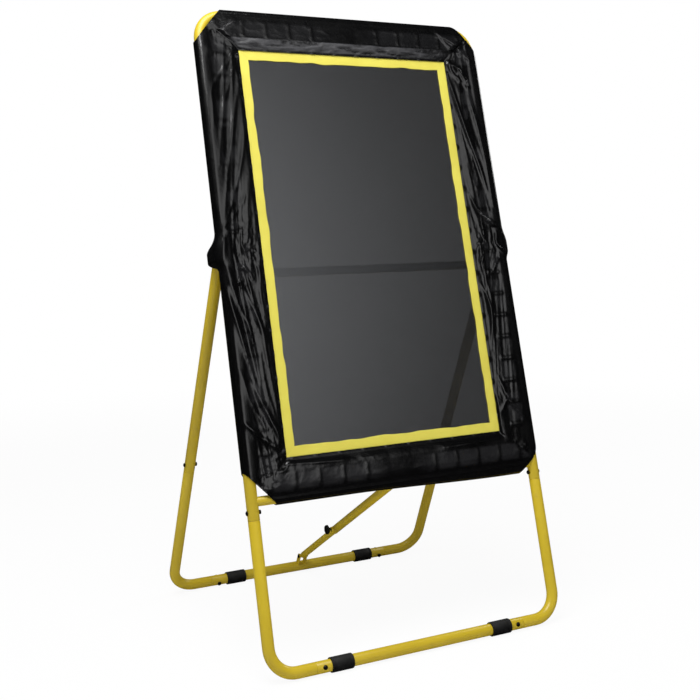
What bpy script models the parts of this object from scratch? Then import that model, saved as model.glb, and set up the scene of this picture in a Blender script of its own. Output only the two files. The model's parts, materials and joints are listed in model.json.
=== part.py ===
"""Folding lacrosse rebounder: a leaning frame with a sprung mat, a rear stand and a telescoping brace.

Metres, +Z up, the front rail towards -Y. Three empties carry the pieces: one along the leaning
front frame, one on the pivot of the rear stand and one on the upper pivot of the brace.
In each of them Z runs along the tubes, X across the object and Y towards the back.
"""

import math

import bmesh
import bpy
from mathutils import Matrix, Vector

# Overall sizes
FRAME_WIDTH = 1.100  # over the two side tubes
FRAME_LENGTH = 2.122  # bottom rail to top tube, centre to centre, along the frame
LEAN = math.radians(13.8)  # the frame leans back from upright
STAND_SPREAD = 0.947  # front rail to rear rail, centre to centre, on the floor

# Tubes
TUBE_R = 0.019
WALL = 0.0018
BEND_R = 0.085  # centre line of every corner
BAR_R = 0.015  # the two cross tubes
CROSS_TUBE_UP = 0.522  # above the bottom rail, along the frame
MID_BAR_SPRING = 8  # the mid bar runs between this side spring and the next, counted from below
MID_BAR_BACK = 0.025  # its middle stands behind the mat's reach
MID_BAR_BENDS = (0.101, 0.031)  # it steps back between these distances from the side tubes
SIDES = 16
BORE_SIDES = 8
BEND_STEPS = 6

# Fits
GAP = 0.0003  # between pieces that touch
SPIGOT_FIT = 0.0004
SPIGOT = 0.068  # length of a reduced tube end inside its socket
NECK_TAPER = 0.006  # the bore widens over this behind the shoulder
SEAM_TO_BOLT = 0.025

# Where the tubes are joined
FRONT_BOLT_UP = 0.490
REAR_BOLT_UP = 0.570
FRONT_BOLT_IN = 0.171  # in from the side tubes, along the rails
REAR_BOLT_IN = 0.181
UPPER_SEAM_UP = 1.420

# Foot sleeves
SLEEVE_R = 0.0235
SLEEVE_LENGTH = 0.076
FRONT_SLEEVE_IN = 0.234  # sleeve centre, in from the side tubes
REAR_SLEEVE_IN = 0.254
SOLE_ANGLE = math.radians(22.5)  # half of the arc that is cut flat

# Rear stand pivots
PIVOT_OVER_BAR = 0.0555  # pivots above the mid bar
PIVOT_BACK = 0.048
PIVOT_BOLT_R = 0.005
LEG_OVER_PIVOT = 0.013
CHEEK = 0.003
CHEEK_BACK = 0.018  # cheek behind the pivot
CHEEK_FRONT = 0.004  # cheek in front of the tube's centre
BRACKET_HEIGHT = 0.056
BRACKET_ROUND = 0.014

# Fasteners
BOLT_R = 0.004
HEAD_R = 0.0075
HEAD_HEIGHT = 0.0045
NUT_FLATS = 0.013
NUT_HEIGHT = 0.006
HOLE_FIT = 0.0003

# Brace
BRACE_PIVOT_BACK = 0.045  # upper pivot behind the cross tube
BRACE_PIVOT_ABOVE = 0.052  # lower pivot from the rear rail's centre
BRACE_EAR_LEAN = math.radians(3)  # the lower ears lean forwards from the plane of the stand
BRACE_R = 0.015
BRACE_WALL = 0.0019
BRACE_LENGTH = 0.539
BRACE_OVER_PIVOT = 0.011
SLIDER_R = 0.0125
SLIDER_WALL = 0.0015
SLIDER_LENGTH = 0.470
TONGUE_WIDTH = 0.0244
TONGUE_R = 0.0065
TONGUE_REACH = 0.0135
PLUG_LENGTH = 0.030
EAR = 0.003
EAR_R = 0.011
KNOB_R = 0.0175
KNOB_THICKNESS = 0.009
KNOB_OUT = 0.0405
KNOB_FROM_END = 0.024
LOBES = 6
BOSS_R = 0.008
BOSS_OUT = 0.0245
STUD_R = 0.0035

# Mat
SIDE_SPRING_ROOM = 0.1285  # side tube's centre to the mat's edge
END_SPRING_ROOM = 0.1245  # top tube's or cross tube's centre to the mat's edge
MAT_THICKNESS = 0.002
MAT_FORWARD = 0.010  # mat centre in front of the tube centres
WEBBING_WIDTH = 0.034
WEBBING_THICKNESS = 0.0015
TAB_REACH = 0.019
TAB_WIDTH = 0.022
EYE_OUT = 0.010  # spring eye outside the mat's edge

# Springs
WIRE_R = 0.0015
COIL_R = 0.0068
CURLS = 4
CURL_POINTS = 8
SPRING_LEAD = 0.018  # hook end to first curl
HOOK_FIT = 0.0006
SIDE_SPRINGS = 18
END_SPRINGS = 10
LAST_SPRING_IN = 0.0165  # first and last spring of each row, in from the mat's corners
MODELLED_SIDE_SPRINGS = (2, 8, 15)
MODELLED_END_SPRINGS = (2, 7)

# Cover
COVER = 0.003
COVER_CLEAR = 0.0006  # cover to the tubes under it
COVER_EDGE_FORWARD = 0.0172  # underside of the inner edge, in front of the tube centres
COVER_EDGE_OUT = 0.0015  # inner edge outside the mat
COVER_CHAMFER = 0.102  # corner cut, along the top and bottom
COVER_CHAMFER_TOP = 0.120  # corner cut, down the sides
COVER_CHAMFER_BOTTOM = 0.109
WRAP_BACK = math.radians(65)
WRAP_BACK_BOTTOM = math.radians(40)
BULGE_OUT = 0.0135  # the cover stands out round the pivot
BULGE_BACK = 0.070
BULGE_ROWS = ((-0.085, 0.0), (-0.060, 0.55), (-0.035, 1.0), (0.035, 1.0), (0.058, 0.5), (0.080, 0.0))

# What follows from the sizes above
SIDE_X = FRAME_WIDTH / 2 - TUBE_R
BORE_R = TUBE_R - WALL
SPIGOT_R = BORE_R - SPIGOT_FIT
RAIL_HEIGHT = SLEEVE_R * math.cos(SOLE_ANGLE)
SPRING_FORWARD = MAT_FORWARD - MAT_THICKNESS / 2 - WIRE_R - 0.0004
HALF_MAT = SIDE_X - SIDE_SPRING_ROOM
MAT_TOP = FRAME_LENGTH - END_SPRING_ROOM
MAT_BOTTOM = CROSS_TUBE_UP + END_SPRING_ROOM
FIRST_SPRING_UP = MAT_BOTTOM + LAST_SPRING_IN
SIDE_SPRING_STEP = (MAT_TOP - LAST_SPRING_IN - FIRST_SPRING_UP) / (SIDE_SPRINGS - 1)
MID_BAR_UP = FIRST_SPRING_UP + SIDE_SPRING_STEP * (MID_BAR_SPRING - 0.5)
PIVOT_UP = MID_BAR_UP + PIVOT_OVER_BAR
FRONT_BOLT_OUT = SIDE_X - FRONT_BOLT_IN
REAR_BOLT_OUT = SIDE_X - REAR_BOLT_IN
FRONT_SLEEVE_OUT = SIDE_X - FRONT_SLEEVE_IN
REAR_SLEEVE_OUT = SIDE_X - REAR_SLEEVE_IN

FRONT_RAIL = Vector((0, -STAND_SPREAD / 2, RAIL_HEIGHT))
REAR_RAIL = Vector((0, STAND_SPREAD / 2, RAIL_HEIGHT))


def on_frame(up, back, x=0.0):
    """World point of a place on the leaning frame."""
    along = Vector((0, math.sin(LEAN), math.cos(LEAN)))
    behind = Vector((0, math.cos(LEAN), -math.sin(LEAN)))
    return FRONT_RAIL + along * up + behind * back + Vector((x, 0, 0))


STAND_PIVOT = on_frame(PIVOT_UP, PIVOT_BACK)
STAND_LENGTH = (STAND_PIVOT - REAR_RAIL).length
STAND_TILT = math.atan2(REAR_RAIL.y - STAND_PIVOT.y, STAND_PIVOT.z - REAR_RAIL.z)
BRACE_TOP = on_frame(CROSS_TUBE_UP, BRACE_PIVOT_BACK)
EAR_TILT = STAND_TILT + BRACE_EAR_LEAN
BRACE_FOOT = REAR_RAIL + Vector((0, -math.sin(EAR_TILT), math.cos(EAR_TILT))) * BRACE_PIVOT_ABOVE
BRACE_SPAN = (BRACE_TOP - BRACE_FOOT).length
BRACE_TILT = math.atan2(BRACE_FOOT.y - BRACE_TOP.y, BRACE_TOP.z - BRACE_FOOT.z)


def clear_scene():
    for old in list(bpy.data.objects):
        bpy.data.objects.remove(old, do_unlink=True)


def make_material(name, colour, roughness, metallic=0.0):
    made = bpy.data.materials.new(name)
    made.use_nodes = True
    shader = made.node_tree.nodes["Principled BSDF"]
    shader.inputs["Base Color"].default_value = (*colour, 1.0)
    shader.inputs["Roughness"].default_value = roughness
    shader.inputs["Metallic"].default_value = metallic
    return made


def make_axis(name, place, tilt):
    axis = bpy.data.objects.new(name, None)
    axis.location = place
    axis.rotation_euler = (tilt, 0, 0)
    bpy.context.scene.collection.objects.link(axis)
    return axis


def finish(bm, name, parent, material, place=(0, 0, 0), turn=(0, 0, 0), smooth=True):
    """Turns a bmesh into a named object on its parent."""
    bmesh.ops.recalc_face_normals(bm, faces=bm.faces)
    mesh = bpy.data.meshes.new(name)
    bm.to_mesh(mesh)
    bm.free()
    if smooth:
        mesh.shade_smooth()
        mesh.set_sharp_from_angle(angle=math.radians(35))
    mesh.materials.append(material)
    made = bpy.data.objects.new(name, mesh)
    made.parent = parent
    made.location = place
    made.rotation_euler = turn
    bpy.context.scene.collection.objects.link(made)
    return made


def mirrored(bm):
    bmesh.ops.scale(bm, vec=(-1, 1, 1), verts=bm.verts)
    return bm


def add_ring(bm, points):
    return [bm.verts.new(point) for point in points]


def join_rings(bm, rings, closed=False):
    """Quads between rings that have as many points."""
    pairs = list(zip(rings, rings[1:]))
    if closed:
        pairs.append((rings[-1], rings[0]))
    for low, high in pairs:
        count = len(low)
        for i in range(count):
            j = (i + 1) % count
            bm.faces.new((low[i], low[j], high[j], high[i]))


def join_walls(bm, outer, bore):
    """The flat end between an outer ring and a bore ring with as many points, or half as many."""
    ratio = len(outer) // len(bore)
    for i in range(len(bore)):
        j = (i + 1) % len(bore)
        arc = [outer[(i * ratio + k) % len(outer)] for k in range(ratio + 1)]
        bm.faces.new(arc + [bore[j], bore[i]])


def hollow_sweep(stations, bore_sides=SIDES):
    """A tube with its bore, through stations (x, z, heading, radius, bore) in the XZ plane."""
    bm = bmesh.new()
    ends = []
    for count, column in ((SIDES, 3), (bore_sides, 4)):
        rings = []
        last = None
        for station in stations:
            x, z, heading = station[:3]
            radius = station[column]
            if (x, z, radius) == last:
                continue
            last = (x, z, radius)
            across = Vector((math.cos(heading), 0, -math.sin(heading)))
            ring = []
            for i in range(count):
                angle = math.tau * i / count
                offset = across * math.cos(angle) + Vector((0, 1, 0)) * math.sin(angle)
                ring.append(Vector((x, 0, z)) + offset * radius)
            rings.append(add_ring(bm, ring))
        join_rings(bm, rings)
        ends.append((rings[0], rings[-1]))
    (outer_first, outer_last), (bore_first, bore_last) = ends
    join_walls(bm, outer_first, bore_first)
    join_walls(bm, outer_last, bore_last)
    return bm


def straight_tube(start, end, radius, wall):
    """A plain tube between two (x, z) points."""
    heading = math.atan2(end[0] - start[0], end[1] - start[1])
    return hollow_sweep([(*point, heading, radius, radius - wall) for point in (start, end)])


def elbow_tube(leg_seam, rail_height, rail_seam, rail_spigot):
    """The left corner tube: a leg with a reduced end at leg_seam, a bend and a run towards the middle."""
    travel = 1 if rail_height > leg_seam else -1
    start_heading = 0 if travel > 0 else math.pi
    shoulder = leg_seam + travel * GAP
    body = (TUBE_R, BORE_R)
    reduced = (SPIGOT_R, SPIGOT_R - WALL)
    neck = (TUBE_R, SPIGOT_R - WALL)
    x = -SIDE_X
    stations = [
        (x, leg_seam - travel * SPIGOT, start_heading, *reduced),
        (x, shoulder, start_heading, *reduced),
        (x, shoulder, start_heading, *neck),
        (x, shoulder + travel * NECK_TAPER, start_heading, *body),
    ]
    for i in range(BEND_STEPS + 1):
        angle = math.pi / 2 * i / BEND_STEPS
        stations.append(
            (
                x + BEND_R * (1 - math.cos(angle)),
                rail_height - travel * BEND_R * (1 - math.sin(angle)),
                start_heading + travel * angle,
                *body,
            )
        )
    end_heading = math.pi / 2
    if rail_spigot:
        stations.append((-rail_seam - GAP - NECK_TAPER, rail_height, end_heading, *body))
        stations.append((-rail_seam - GAP, rail_height, end_heading, *neck))
        stations.append((-rail_seam - GAP, rail_height, end_heading, *reduced))
        stations.append((-rail_seam + SPIGOT, rail_height, end_heading, *reduced))
    else:
        stations.append((-rail_seam, rail_height, end_heading, *body))
    return hollow_sweep(stations, BORE_SIDES if rail_spigot else SIDES)


def lathe(rings, count=12, phase=0.0):
    """A solid from rings (height, radius, hexagon) about Z, with flat ends."""
    bm = bmesh.new()
    made = []
    for height, radius, hexagon in rings:
        ring = []
        for i in range(count):
            angle = math.tau * (i + phase) / count
            reach = radius
            if hexagon:
                from_flat = (angle + math.pi / 6) % (math.pi / 3) - math.pi / 6
                reach = radius / math.cos(from_flat)
            ring.append((reach * math.cos(angle), reach * math.sin(angle), height))
        made.append(add_ring(bm, ring))
    join_rings(bm, made)
    bm.faces.new(made[0][::-1])
    bm.faces.new(made[-1])
    return bm


def head_rings(seat, shank):
    """Shank, then a domed head above the seat."""
    return [
        (seat, shank, False),
        (seat, HEAD_R, False),
        (seat + HEAD_HEIGHT * 0.45, HEAD_R, False),
        (seat + HEAD_HEIGHT, HEAD_R * 0.5, False),
    ]


def nut_rings(seat, shank):
    """A hexagon nut below the seat, then the shank."""
    return [
        (seat - NUT_HEIGHT, NUT_FLATS / 2 * 0.82, True),
        (seat - NUT_HEIGHT * 0.8, NUT_FLATS / 2, True),
        (seat, NUT_FLATS / 2, True),
        (seat, shank, False),
    ]


def through_bolt(grip, shank=BOLT_R):
    """A bolt along Z with its head up, its nut down and its middle at the origin."""
    return lathe(nut_rings(-grip / 2, shank) + head_rings(grip / 2, shank))


def rod(radius, low, high, count=12, phase=0.5):
    return lathe([(low, radius, False), (high, radius, False)], count, phase)


def drill(name, parent, place, turn, radius, low, high, targets, count=12):
    """Cuts one round hole through each target."""
    cutter = finish(rod(radius, low, high, count), name, parent, STEEL, place, turn)
    hide_cutter(cutter)
    for target in targets:
        cut_with(target, cutter)
    return cutter


def hide_cutter(cutter):
    cutter.hide_render = True
    cutter.display_type = "WIRE"


def cut_with(target, cutter, operation="DIFFERENCE"):
    cut = target.modifiers.new(cutter.name, "BOOLEAN")
    cut.operation = operation
    cut.solver = "EXACT"
    cut.object = cutter


def extruded(outline, low, high, axis):
    """A plate with a flat outline, as thick as low to high along one axis."""
    bm = bmesh.new()
    rings = []
    for level in (low, high):
        ring = []
        for a, b in outline:
            point = [a, b]
            point.insert(axis, level)
            ring.append(point)
        rings.append(add_ring(bm, ring))
    join_rings(bm, rings)
    bm.faces.new(rings[0][::-1])
    bm.faces.new(rings[1])
    return bm


def ear_outline(pivot, eye, seat):
    """An ear in (y, z): coped to a tube of radius seat at the origin, round about the pivot above it."""
    edge = math.asin(eye / seat)
    steps = 6
    cope = [edge - 2 * edge * i / steps for i in range(steps + 1)]
    round_end = [math.pi * (1 - i / 8) for i in range(9)]
    outline = [(seat * math.sin(a), seat * math.cos(a)) for a in cope]
    outline += [(eye * math.cos(a), pivot + eye * math.sin(a)) for a in round_end]
    return outline


def stepped_bar():
    """The mid bar in (x, depth): level with the side tubes at its ends and set back between them."""
    inner, outer = (SIDE_X - bend for bend in MID_BAR_BENDS)
    half = [(-SIDE_X, 0.0, math.pi / 2)]
    for i in range(BEND_STEPS + 1):
        part = i / BEND_STEPS
        depth = MID_BAR_BACK * (1 - math.cos(math.pi * part)) / 2
        slope = MID_BAR_BACK * math.pi * math.sin(math.pi * part) / 2 / (outer - inner)
        half.append((-outer + (outer - inner) * part, depth, math.pi / 2 - math.atan(slope)))
    other = [(-x, depth, math.pi - heading) for x, depth, heading in reversed(half)]
    return hollow_sweep([(*station, BAR_R, BAR_R - WALL) for station in half + other])


def build_front_tubes(frame):
    rail_seam = FRONT_BOLT_OUT + SEAM_TO_BOLT
    leg_seam = FRONT_BOLT_UP - SEAM_TO_BOLT
    rail = finish(straight_tube((-rail_seam, 0), (rail_seam, 0), TUBE_R, WALL), "bottom_rail", frame, YELLOW)
    tubes = {"bottom_rail": rail}
    for side, label in SIDES_OF_OBJECT:
        corner = elbow_tube(leg_seam, 0, rail_seam, True)
        upper = elbow_tube(UPPER_SEAM_UP, FRAME_LENGTH, 0, label == "right")
        post = straight_tube((-SIDE_X, leg_seam), (-SIDE_X, UPPER_SEAM_UP), TUBE_R, WALL)
        for name, bm in (("bottom_corner", corner), ("upper_corner", upper), ("side_tube", post)):
            if side > 0:
                bm = mirrored(bm)
            tubes[f"{name}_{label}"] = finish(bm, f"{name}_{label}", frame, YELLOW)
    flat = (-math.pi / 2, 0, 0)
    straight_bar = straight_tube((-SIDE_X, 0), (SIDE_X, 0), BAR_R, WALL)
    for name, up, bm in (
        ("lower_cross_tube", CROSS_TUBE_UP, straight_bar),
        ("mid_bar", MID_BAR_UP, stepped_bar()),
    ):
        bar = finish(bm, name, frame, YELLOW, (0, 0, up), flat)
        tubes[name] = bar
        for side, label in SIDES_OF_OBJECT:
            reach = BAR_R + 0.010
            place = (side * SIDE_X, 0, up)
            cope = rod(TUBE_R + GAP, -reach, reach, SIDES, 0)
            cutter = finish(cope, f"cope_{name}_{label}", frame, YELLOW, place)
            hide_cutter(cutter)
            cut_with(bar, cutter)
    return tubes


def fit_bolt(name, parent, place, turn, targets):
    """A bolt through two tube walls, with its holes."""
    grip = 2 * (TUBE_R + GAP)
    finish(through_bolt(grip), name, parent, ZINC, place, turn)
    drill(f"{name}_hole", parent, place, turn, BOLT_R + HOLE_FIT, -grip, grip, targets)


def build_joint_bolts(frame, stand, front, rear):
    for side, label in SIDES_OF_OBJECT:
        outwards = (0, side * math.pi / 2, 0)
        fit_bolt(
            f"front_leg_bolt_{label}",
            frame,
            (side * SIDE_X, 0, FRONT_BOLT_UP),
            outwards,
            [front[f"side_tube_{label}"], front[f"bottom_corner_{label}"]],
        )
        fit_bolt(
            f"front_rail_bolt_{label}",
            frame,
            (side * FRONT_BOLT_OUT, 0, 0),
            (math.pi / 2, 0, 0),
            [front["bottom_rail"], front[f"bottom_corner_{label}"]],
        )
        fit_bolt(
            f"rear_leg_bolt_{label}",
            stand,
            (side * SIDE_X, 0, REAR_BOLT_UP - STAND_LENGTH),
            outwards,
            [rear[f"rear_leg_{label}"], rear[f"rear_corner_{label}"]],
        )
        fit_bolt(
            f"rear_rail_bolt_{label}",
            stand,
            (side * REAR_BOLT_OUT, 0, -STAND_LENGTH),
            (-math.pi / 2, 0, 0),
            [rear["rear_rail"], rear[f"rear_corner_{label}"]],
        )


def build_rear_tubes(stand):
    rail_seam = REAR_BOLT_OUT + SEAM_TO_BOLT
    floor = -STAND_LENGTH
    leg_seam = floor + REAR_BOLT_UP - SEAM_TO_BOLT
    rail_ends = ((-rail_seam, floor), (rail_seam, floor))
    tubes = {"rear_rail": finish(straight_tube(*rail_ends, TUBE_R, WALL), "rear_rail", stand, YELLOW)}
    for side, label in SIDES_OF_OBJECT:
        corner = elbow_tube(leg_seam, floor, rail_seam, True)
        leg = straight_tube((-SIDE_X, leg_seam), (-SIDE_X, LEG_OVER_PIVOT), TUBE_R, WALL)
        for name, bm in (("rear_corner", corner), ("rear_leg", leg)):
            if side > 0:
                bm = mirrored(bm)
            tubes[f"{name}_{label}"] = finish(bm, f"{name}_{label}", stand, YELLOW)
    return tubes


def build_sleeves(frame, stand):
    """Rubber sleeves with a flat sole that lies on the floor."""
    rows = (
        ("front", frame, FRONT_SLEEVE_OUT, 0, LEAN),
        ("rear", stand, REAR_SLEEVE_OUT, -STAND_LENGTH, -STAND_TILT),
    )
    bore = (TUBE_R + GAP) / math.cos(math.pi / SIDES)
    for row, parent, out, up, tilt in rows:
        for side, label in SIDES_OF_OBJECT:
            bm = bmesh.new()
            rings = []
            for x, radius in (
                (-SLEEVE_LENGTH / 2, bore),
                (-SLEEVE_LENGTH / 2, SLEEVE_R),
                (SLEEVE_LENGTH / 2, SLEEVE_R),
                (SLEEVE_LENGTH / 2, bore),
            ):
                angles = [math.tau * i / SIDES for i in range(SIDES)]
                ring = [(x, radius * math.cos(a), radius * math.sin(a)) for a in angles]
                ring = [(x, y, max(z, -RAIL_HEIGHT)) for x, y, z in ring]
                rings.append(add_ring(bm, ring))
            join_rings(bm, rings, closed=True)
            finish(bm, f"{row}_foot_sleeve_{label}", parent, RUBBER, (side * out, 0, up), (tilt, 0, 0))


def build_pivots(frame, front, rear):
    """Brackets behind the side tubes, which hold the tops of the rear legs on bolts."""
    inner = TUBE_R + GAP
    outer = inner + CHEEK
    back = PIVOT_BACK + CHEEK_BACK
    web = TUBE_R + GAP
    half = [
        (outer, -CHEEK_FRONT),
        (outer, back),
        (inner, back),
        (inner, web + CHEEK),
    ]
    outline = half + [(-x, y) for x, y in reversed(half)]
    outline += [(-inner, -CHEEK_FRONT), (-inner, web), (inner, web), (inner, -CHEEK_FRONT)]
    for side, label in SIDES_OF_OBJECT:
        bm = extruded(outline, -BRACKET_HEIGHT / 2, BRACKET_HEIGHT / 2, 2)
        bm.normal_update()
        corners = []
        for edge in bm.edges:
            a, b = (vert.co for vert in edge.verts)
            if min(a.y, b.y) > back - GAP and abs(a.z - b.z) < GAP:
                corners.append(edge)
        bmesh.ops.bevel(bm, geom=corners, offset=BRACKET_ROUND, segments=3, profile=0.5, affect="EDGES")
        place = (side * SIDE_X, 0, PIVOT_UP)
        bracket = finish(bm, f"pivot_bracket_{label}", frame, YELLOW, place)
        grip = 2 * (outer + GAP)
        bolt_place = (side * SIDE_X, PIVOT_BACK, PIVOT_UP)
        turn = (0, side * math.pi / 2, 0)
        finish(through_bolt(grip, PIVOT_BOLT_R), f"pivot_bolt_{label}", frame, ZINC, bolt_place, turn)
        hole = PIVOT_BOLT_R + HOLE_FIT
        drill(f"pivot_hole_{label}", frame, bolt_place, turn, hole, -grip, grip, [bracket])
        leg_place = (side * SIDE_X, 0, 0)
        leg = rear[f"rear_leg_{label}"]
        drill(f"leg_hole_{label}", leg.parent, leg_place, turn, hole, -grip, grip, [leg])


def build_brace(frame, stand, brace, front, rear):
    hole = BOLT_R + HOLE_FIT
    quarter = math.pi / 2
    upper_gap = BRACE_R + GAP + 0.0001
    lower_gap = TONGUE_WIDTH / 2 + GAP + 0.0001
    for side, label in SIDES_OF_OBJECT:
        for name, parent, place, turn, gap, pivot, seat in (
            (
                "brace_ear_front",
                frame,
                (0, 0, CROSS_TUBE_UP),
                (-quarter, 0, 0),
                upper_gap,
                BRACE_PIVOT_BACK,
                BAR_R,
            ),
            (
                "brace_ear_rear",
                stand,
                (0, 0, -STAND_LENGTH),
                (BRACE_EAR_LEAN, 0, 0),
                lower_gap,
                BRACE_PIVOT_ABOVE,
                TUBE_R,
            ),
        ):
            faces = sorted((side * gap, side * (gap + EAR)))
            bm = extruded(ear_outline(pivot, EAR_R, seat + GAP), *faces, 0)
            ear = finish(bm, f"{name}_{label}", parent, YELLOW, place, turn)
            pin = Matrix.Rotation(turn[0], 3, "X") @ Vector((0, 0, pivot)) + Vector(place)
            reach = gap + 2 * EAR
            drill(f"{name}_hole_{label}", parent, pin, (0, quarter, 0), hole, -reach, reach, [ear])

    tube = finish(
        straight_tube((0, -BRACE_LENGTH), (0, BRACE_OVER_PIVOT), BRACE_R, BRACE_WALL),
        "brace_tube",
        brace,
        YELLOW,
    )
    drill("brace_tube_hole", brace, (0, 0, 0), (0, quarter, 0), hole, -BRACE_R * 2, BRACE_R * 2, [tube])
    grip = 2 * (upper_gap + EAR + GAP)
    pin = (0, BRACE_PIVOT_BACK, CROSS_TUBE_UP)
    finish(through_bolt(grip), "brace_bolt_upper", frame, ZINC, pin, (0, -quarter, 0))

    ear_face = lower_gap + EAR + GAP
    foot_pin = Matrix.Rotation(BRACE_EAR_LEAN, 3, "X") @ Vector((0, 0, BRACE_PIVOT_ABOVE))
    foot_pin.z -= STAND_LENGTH
    head = lathe([(lower_gap, BOLT_R, False)] + head_rings(ear_face, BOLT_R))
    nut = lathe(nut_rings(-ear_face, BOLT_R) + [(-lower_gap, BOLT_R, False)])
    finish(head, "brace_bolt_lower_head", stand, ZINC, foot_pin, (0, -quarter, 0))
    finish(nut, "brace_bolt_lower_nut", stand, ZINC, foot_pin, (0, -quarter, 0))

    foot = -BRACE_SPAN
    slider_end = foot + TONGUE_REACH
    finish(
        straight_tube((0, slider_end), (0, slider_end + SLIDER_LENGTH), SLIDER_R, SLIDER_WALL),
        "brace_slider",
        brace,
        YELLOW,
    )
    arc = [math.pi * (1 + i / 8) for i in range(9)]
    outline = [(TONGUE_R * math.cos(a), TONGUE_R * math.sin(a)) for a in arc]
    outline += [(TONGUE_R, TONGUE_REACH - GAP), (-TONGUE_R, TONGUE_REACH - GAP)]
    tongue = finish(
        extruded(outline, -TONGUE_WIDTH / 2, TONGUE_WIDTH / 2, 0), "brace_end", brace, YELLOW, (0, 0, foot)
    )
    plug = finish(
        rod(SLIDER_R - SLIDER_WALL - GAP, TONGUE_R, TONGUE_REACH + PLUG_LENGTH, SIDES),
        "brace_end_plug",
        brace,
        YELLOW,
        (0, 0, foot),
    )
    hide_cutter(plug)
    cut_with(tongue, plug, "UNION")
    return tube


def build_knob(brace, tube):
    """A clamp knob on the left of the brace, with its stud and the boss that it screws into."""
    place = (0, 0, KNOB_FROM_END - BRACE_LENGTH)
    turn = (0, -math.pi / 2, 0)
    clear = STUD_R + HOLE_FIT
    boss = finish(rod(BOSS_R, BRACE_R / 2, BOSS_OUT), "knob_boss", brace, YELLOW, place, turn)
    drill("boss_bore", brace, place, turn, clear, 0, BOSS_OUT * 2, [boss, tube])
    seat = finish(rod(BRACE_R + GAP, -BOSS_R * 2, BOSS_R * 2, SIDES), "boss_seat", brace, YELLOW, place)
    hide_cutter(seat)
    cut_with(boss, seat)

    rings = []
    face = KNOB_OUT + KNOB_THICKNESS / 2
    back = KNOB_OUT - KNOB_THICKNESS / 2
    neck = back - 0.005
    stud_end = SLIDER_R + GAP
    bm = bmesh.new()
    count = LOBES * 4
    for height, radius, lobe in (
        (stud_end, STUD_R, 0),
        (neck, STUD_R, 0),
        (neck, KNOB_R * 0.45, 0),
        (back, KNOB_R * 0.55, 0),
        (back, KNOB_R * 0.86, 1),
        (back + 0.0015, KNOB_R * 0.96, 1),
        (face - 0.0015, KNOB_R * 0.96, 1),
        (face, KNOB_R * 0.84, 1),
    ):
        ring = []
        for i in range(count):
            angle = math.tau * i / count
            reach = radius + lobe * KNOB_R * 0.04 * math.cos(LOBES * angle)
            ring.append((reach * math.cos(angle), reach * math.sin(angle), height))
        rings.append(add_ring(bm, ring))
    join_rings(bm, rings)
    bm.faces.new(rings[0][::-1])
    bm.faces.new(rings[-1])
    finish(bm, "knob", brace, PLASTIC, place, turn)


def side_spring_heights():
    return [FIRST_SPRING_UP + SIDE_SPRING_STEP * i for i in MODELLED_SIDE_SPRINGS]


def end_spring_places():
    span = 2 * (HALF_MAT - LAST_SPRING_IN)
    step = span / (END_SPRINGS - 1)
    return [step * i - span / 2 for i in MODELLED_END_SPRINGS]


def spring_rows():
    """(name, eye (x, z), direction outwards, tube centre distance from the eye, tube radius, tube name)"""
    rows = []
    for side, label in SIDES_OF_OBJECT:
        for number, up in enumerate(side_spring_heights(), 1):
            eye = Vector((side * (HALF_MAT + EYE_OUT), up))
            tube = "upper_corner" if up > UPPER_SEAM_UP else "side_tube"
            reach = SIDE_X - HALF_MAT - EYE_OUT
            rows.append(
                (f"spring_{label}_{number}", eye, Vector((side, 0)), reach, TUBE_R, f"{tube}_{label}")
            )
    for number, x in enumerate(end_spring_places(), 1):
        label = "left" if x < 0 else "right"
        top = Vector((x, MAT_TOP + EYE_OUT))
        low = Vector((x, MAT_BOTTOM - EYE_OUT))
        rows.append(
            (f"spring_top_{number}", top, Vector((0, 1)), FRAME_LENGTH - top.y, TUBE_R, f"upper_corner_{label}")
        )
        rows.append(
            (f"spring_bottom_{number}", low, Vector((0, -1)), low.y - CROSS_TUBE_UP, BAR_R, "lower_cross_tube")
        )
    return rows


def spring_points(reach, tube_r):
    """Points (outwards, forwards, sideways) of one spring, from the mat's eye into the frame tube."""
    forward = SPRING_FORWARD
    skin = reach - math.sqrt(tube_r**2 - forward**2)
    bend = WIRE_R * 2
    tip = MAT_FORWARD + MAT_THICKNESS / 2 + 0.0025
    points = [(0, tip, 0), (0, forward + bend * 0.8, 0), (bend * 0.3, forward + bend * 0.25, 0)]
    points += [(bend, forward, 0), (SPRING_LEAD * 0.6, forward, 0)]
    pitch = (skin - 0.013 - SPRING_LEAD) / CURLS
    for i in range(CURLS * CURL_POINTS + 1):
        angle = math.tau * i / CURL_POINTS
        along = SPRING_LEAD + pitch * i / CURL_POINTS
        points.append((along, forward + COIL_R * math.sin(angle), COIL_R * math.cos(angle)))
    inside = skin + 0.007
    points += [(skin - 0.006, forward, 0), (inside, forward, 0)]
    points += [(inside + bend * 0.7, forward - bend * 0.3, 0), (inside + bend, forward - bend * 1.6, 0)]
    return points


def least_gap(points):
    """Least distance between two stretches of wire that aren't neighbours, less the wire itself."""
    vectors = [Vector(point) for point in points]
    apart = CURL_POINTS // 2
    closest = min(
        (vectors[i] - vectors[j]).length
        for i in range(len(vectors))
        for j in range(i + apart, len(vectors))
        if j - i >= apart
    )
    return closest - 2 * WIRE_R


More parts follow.
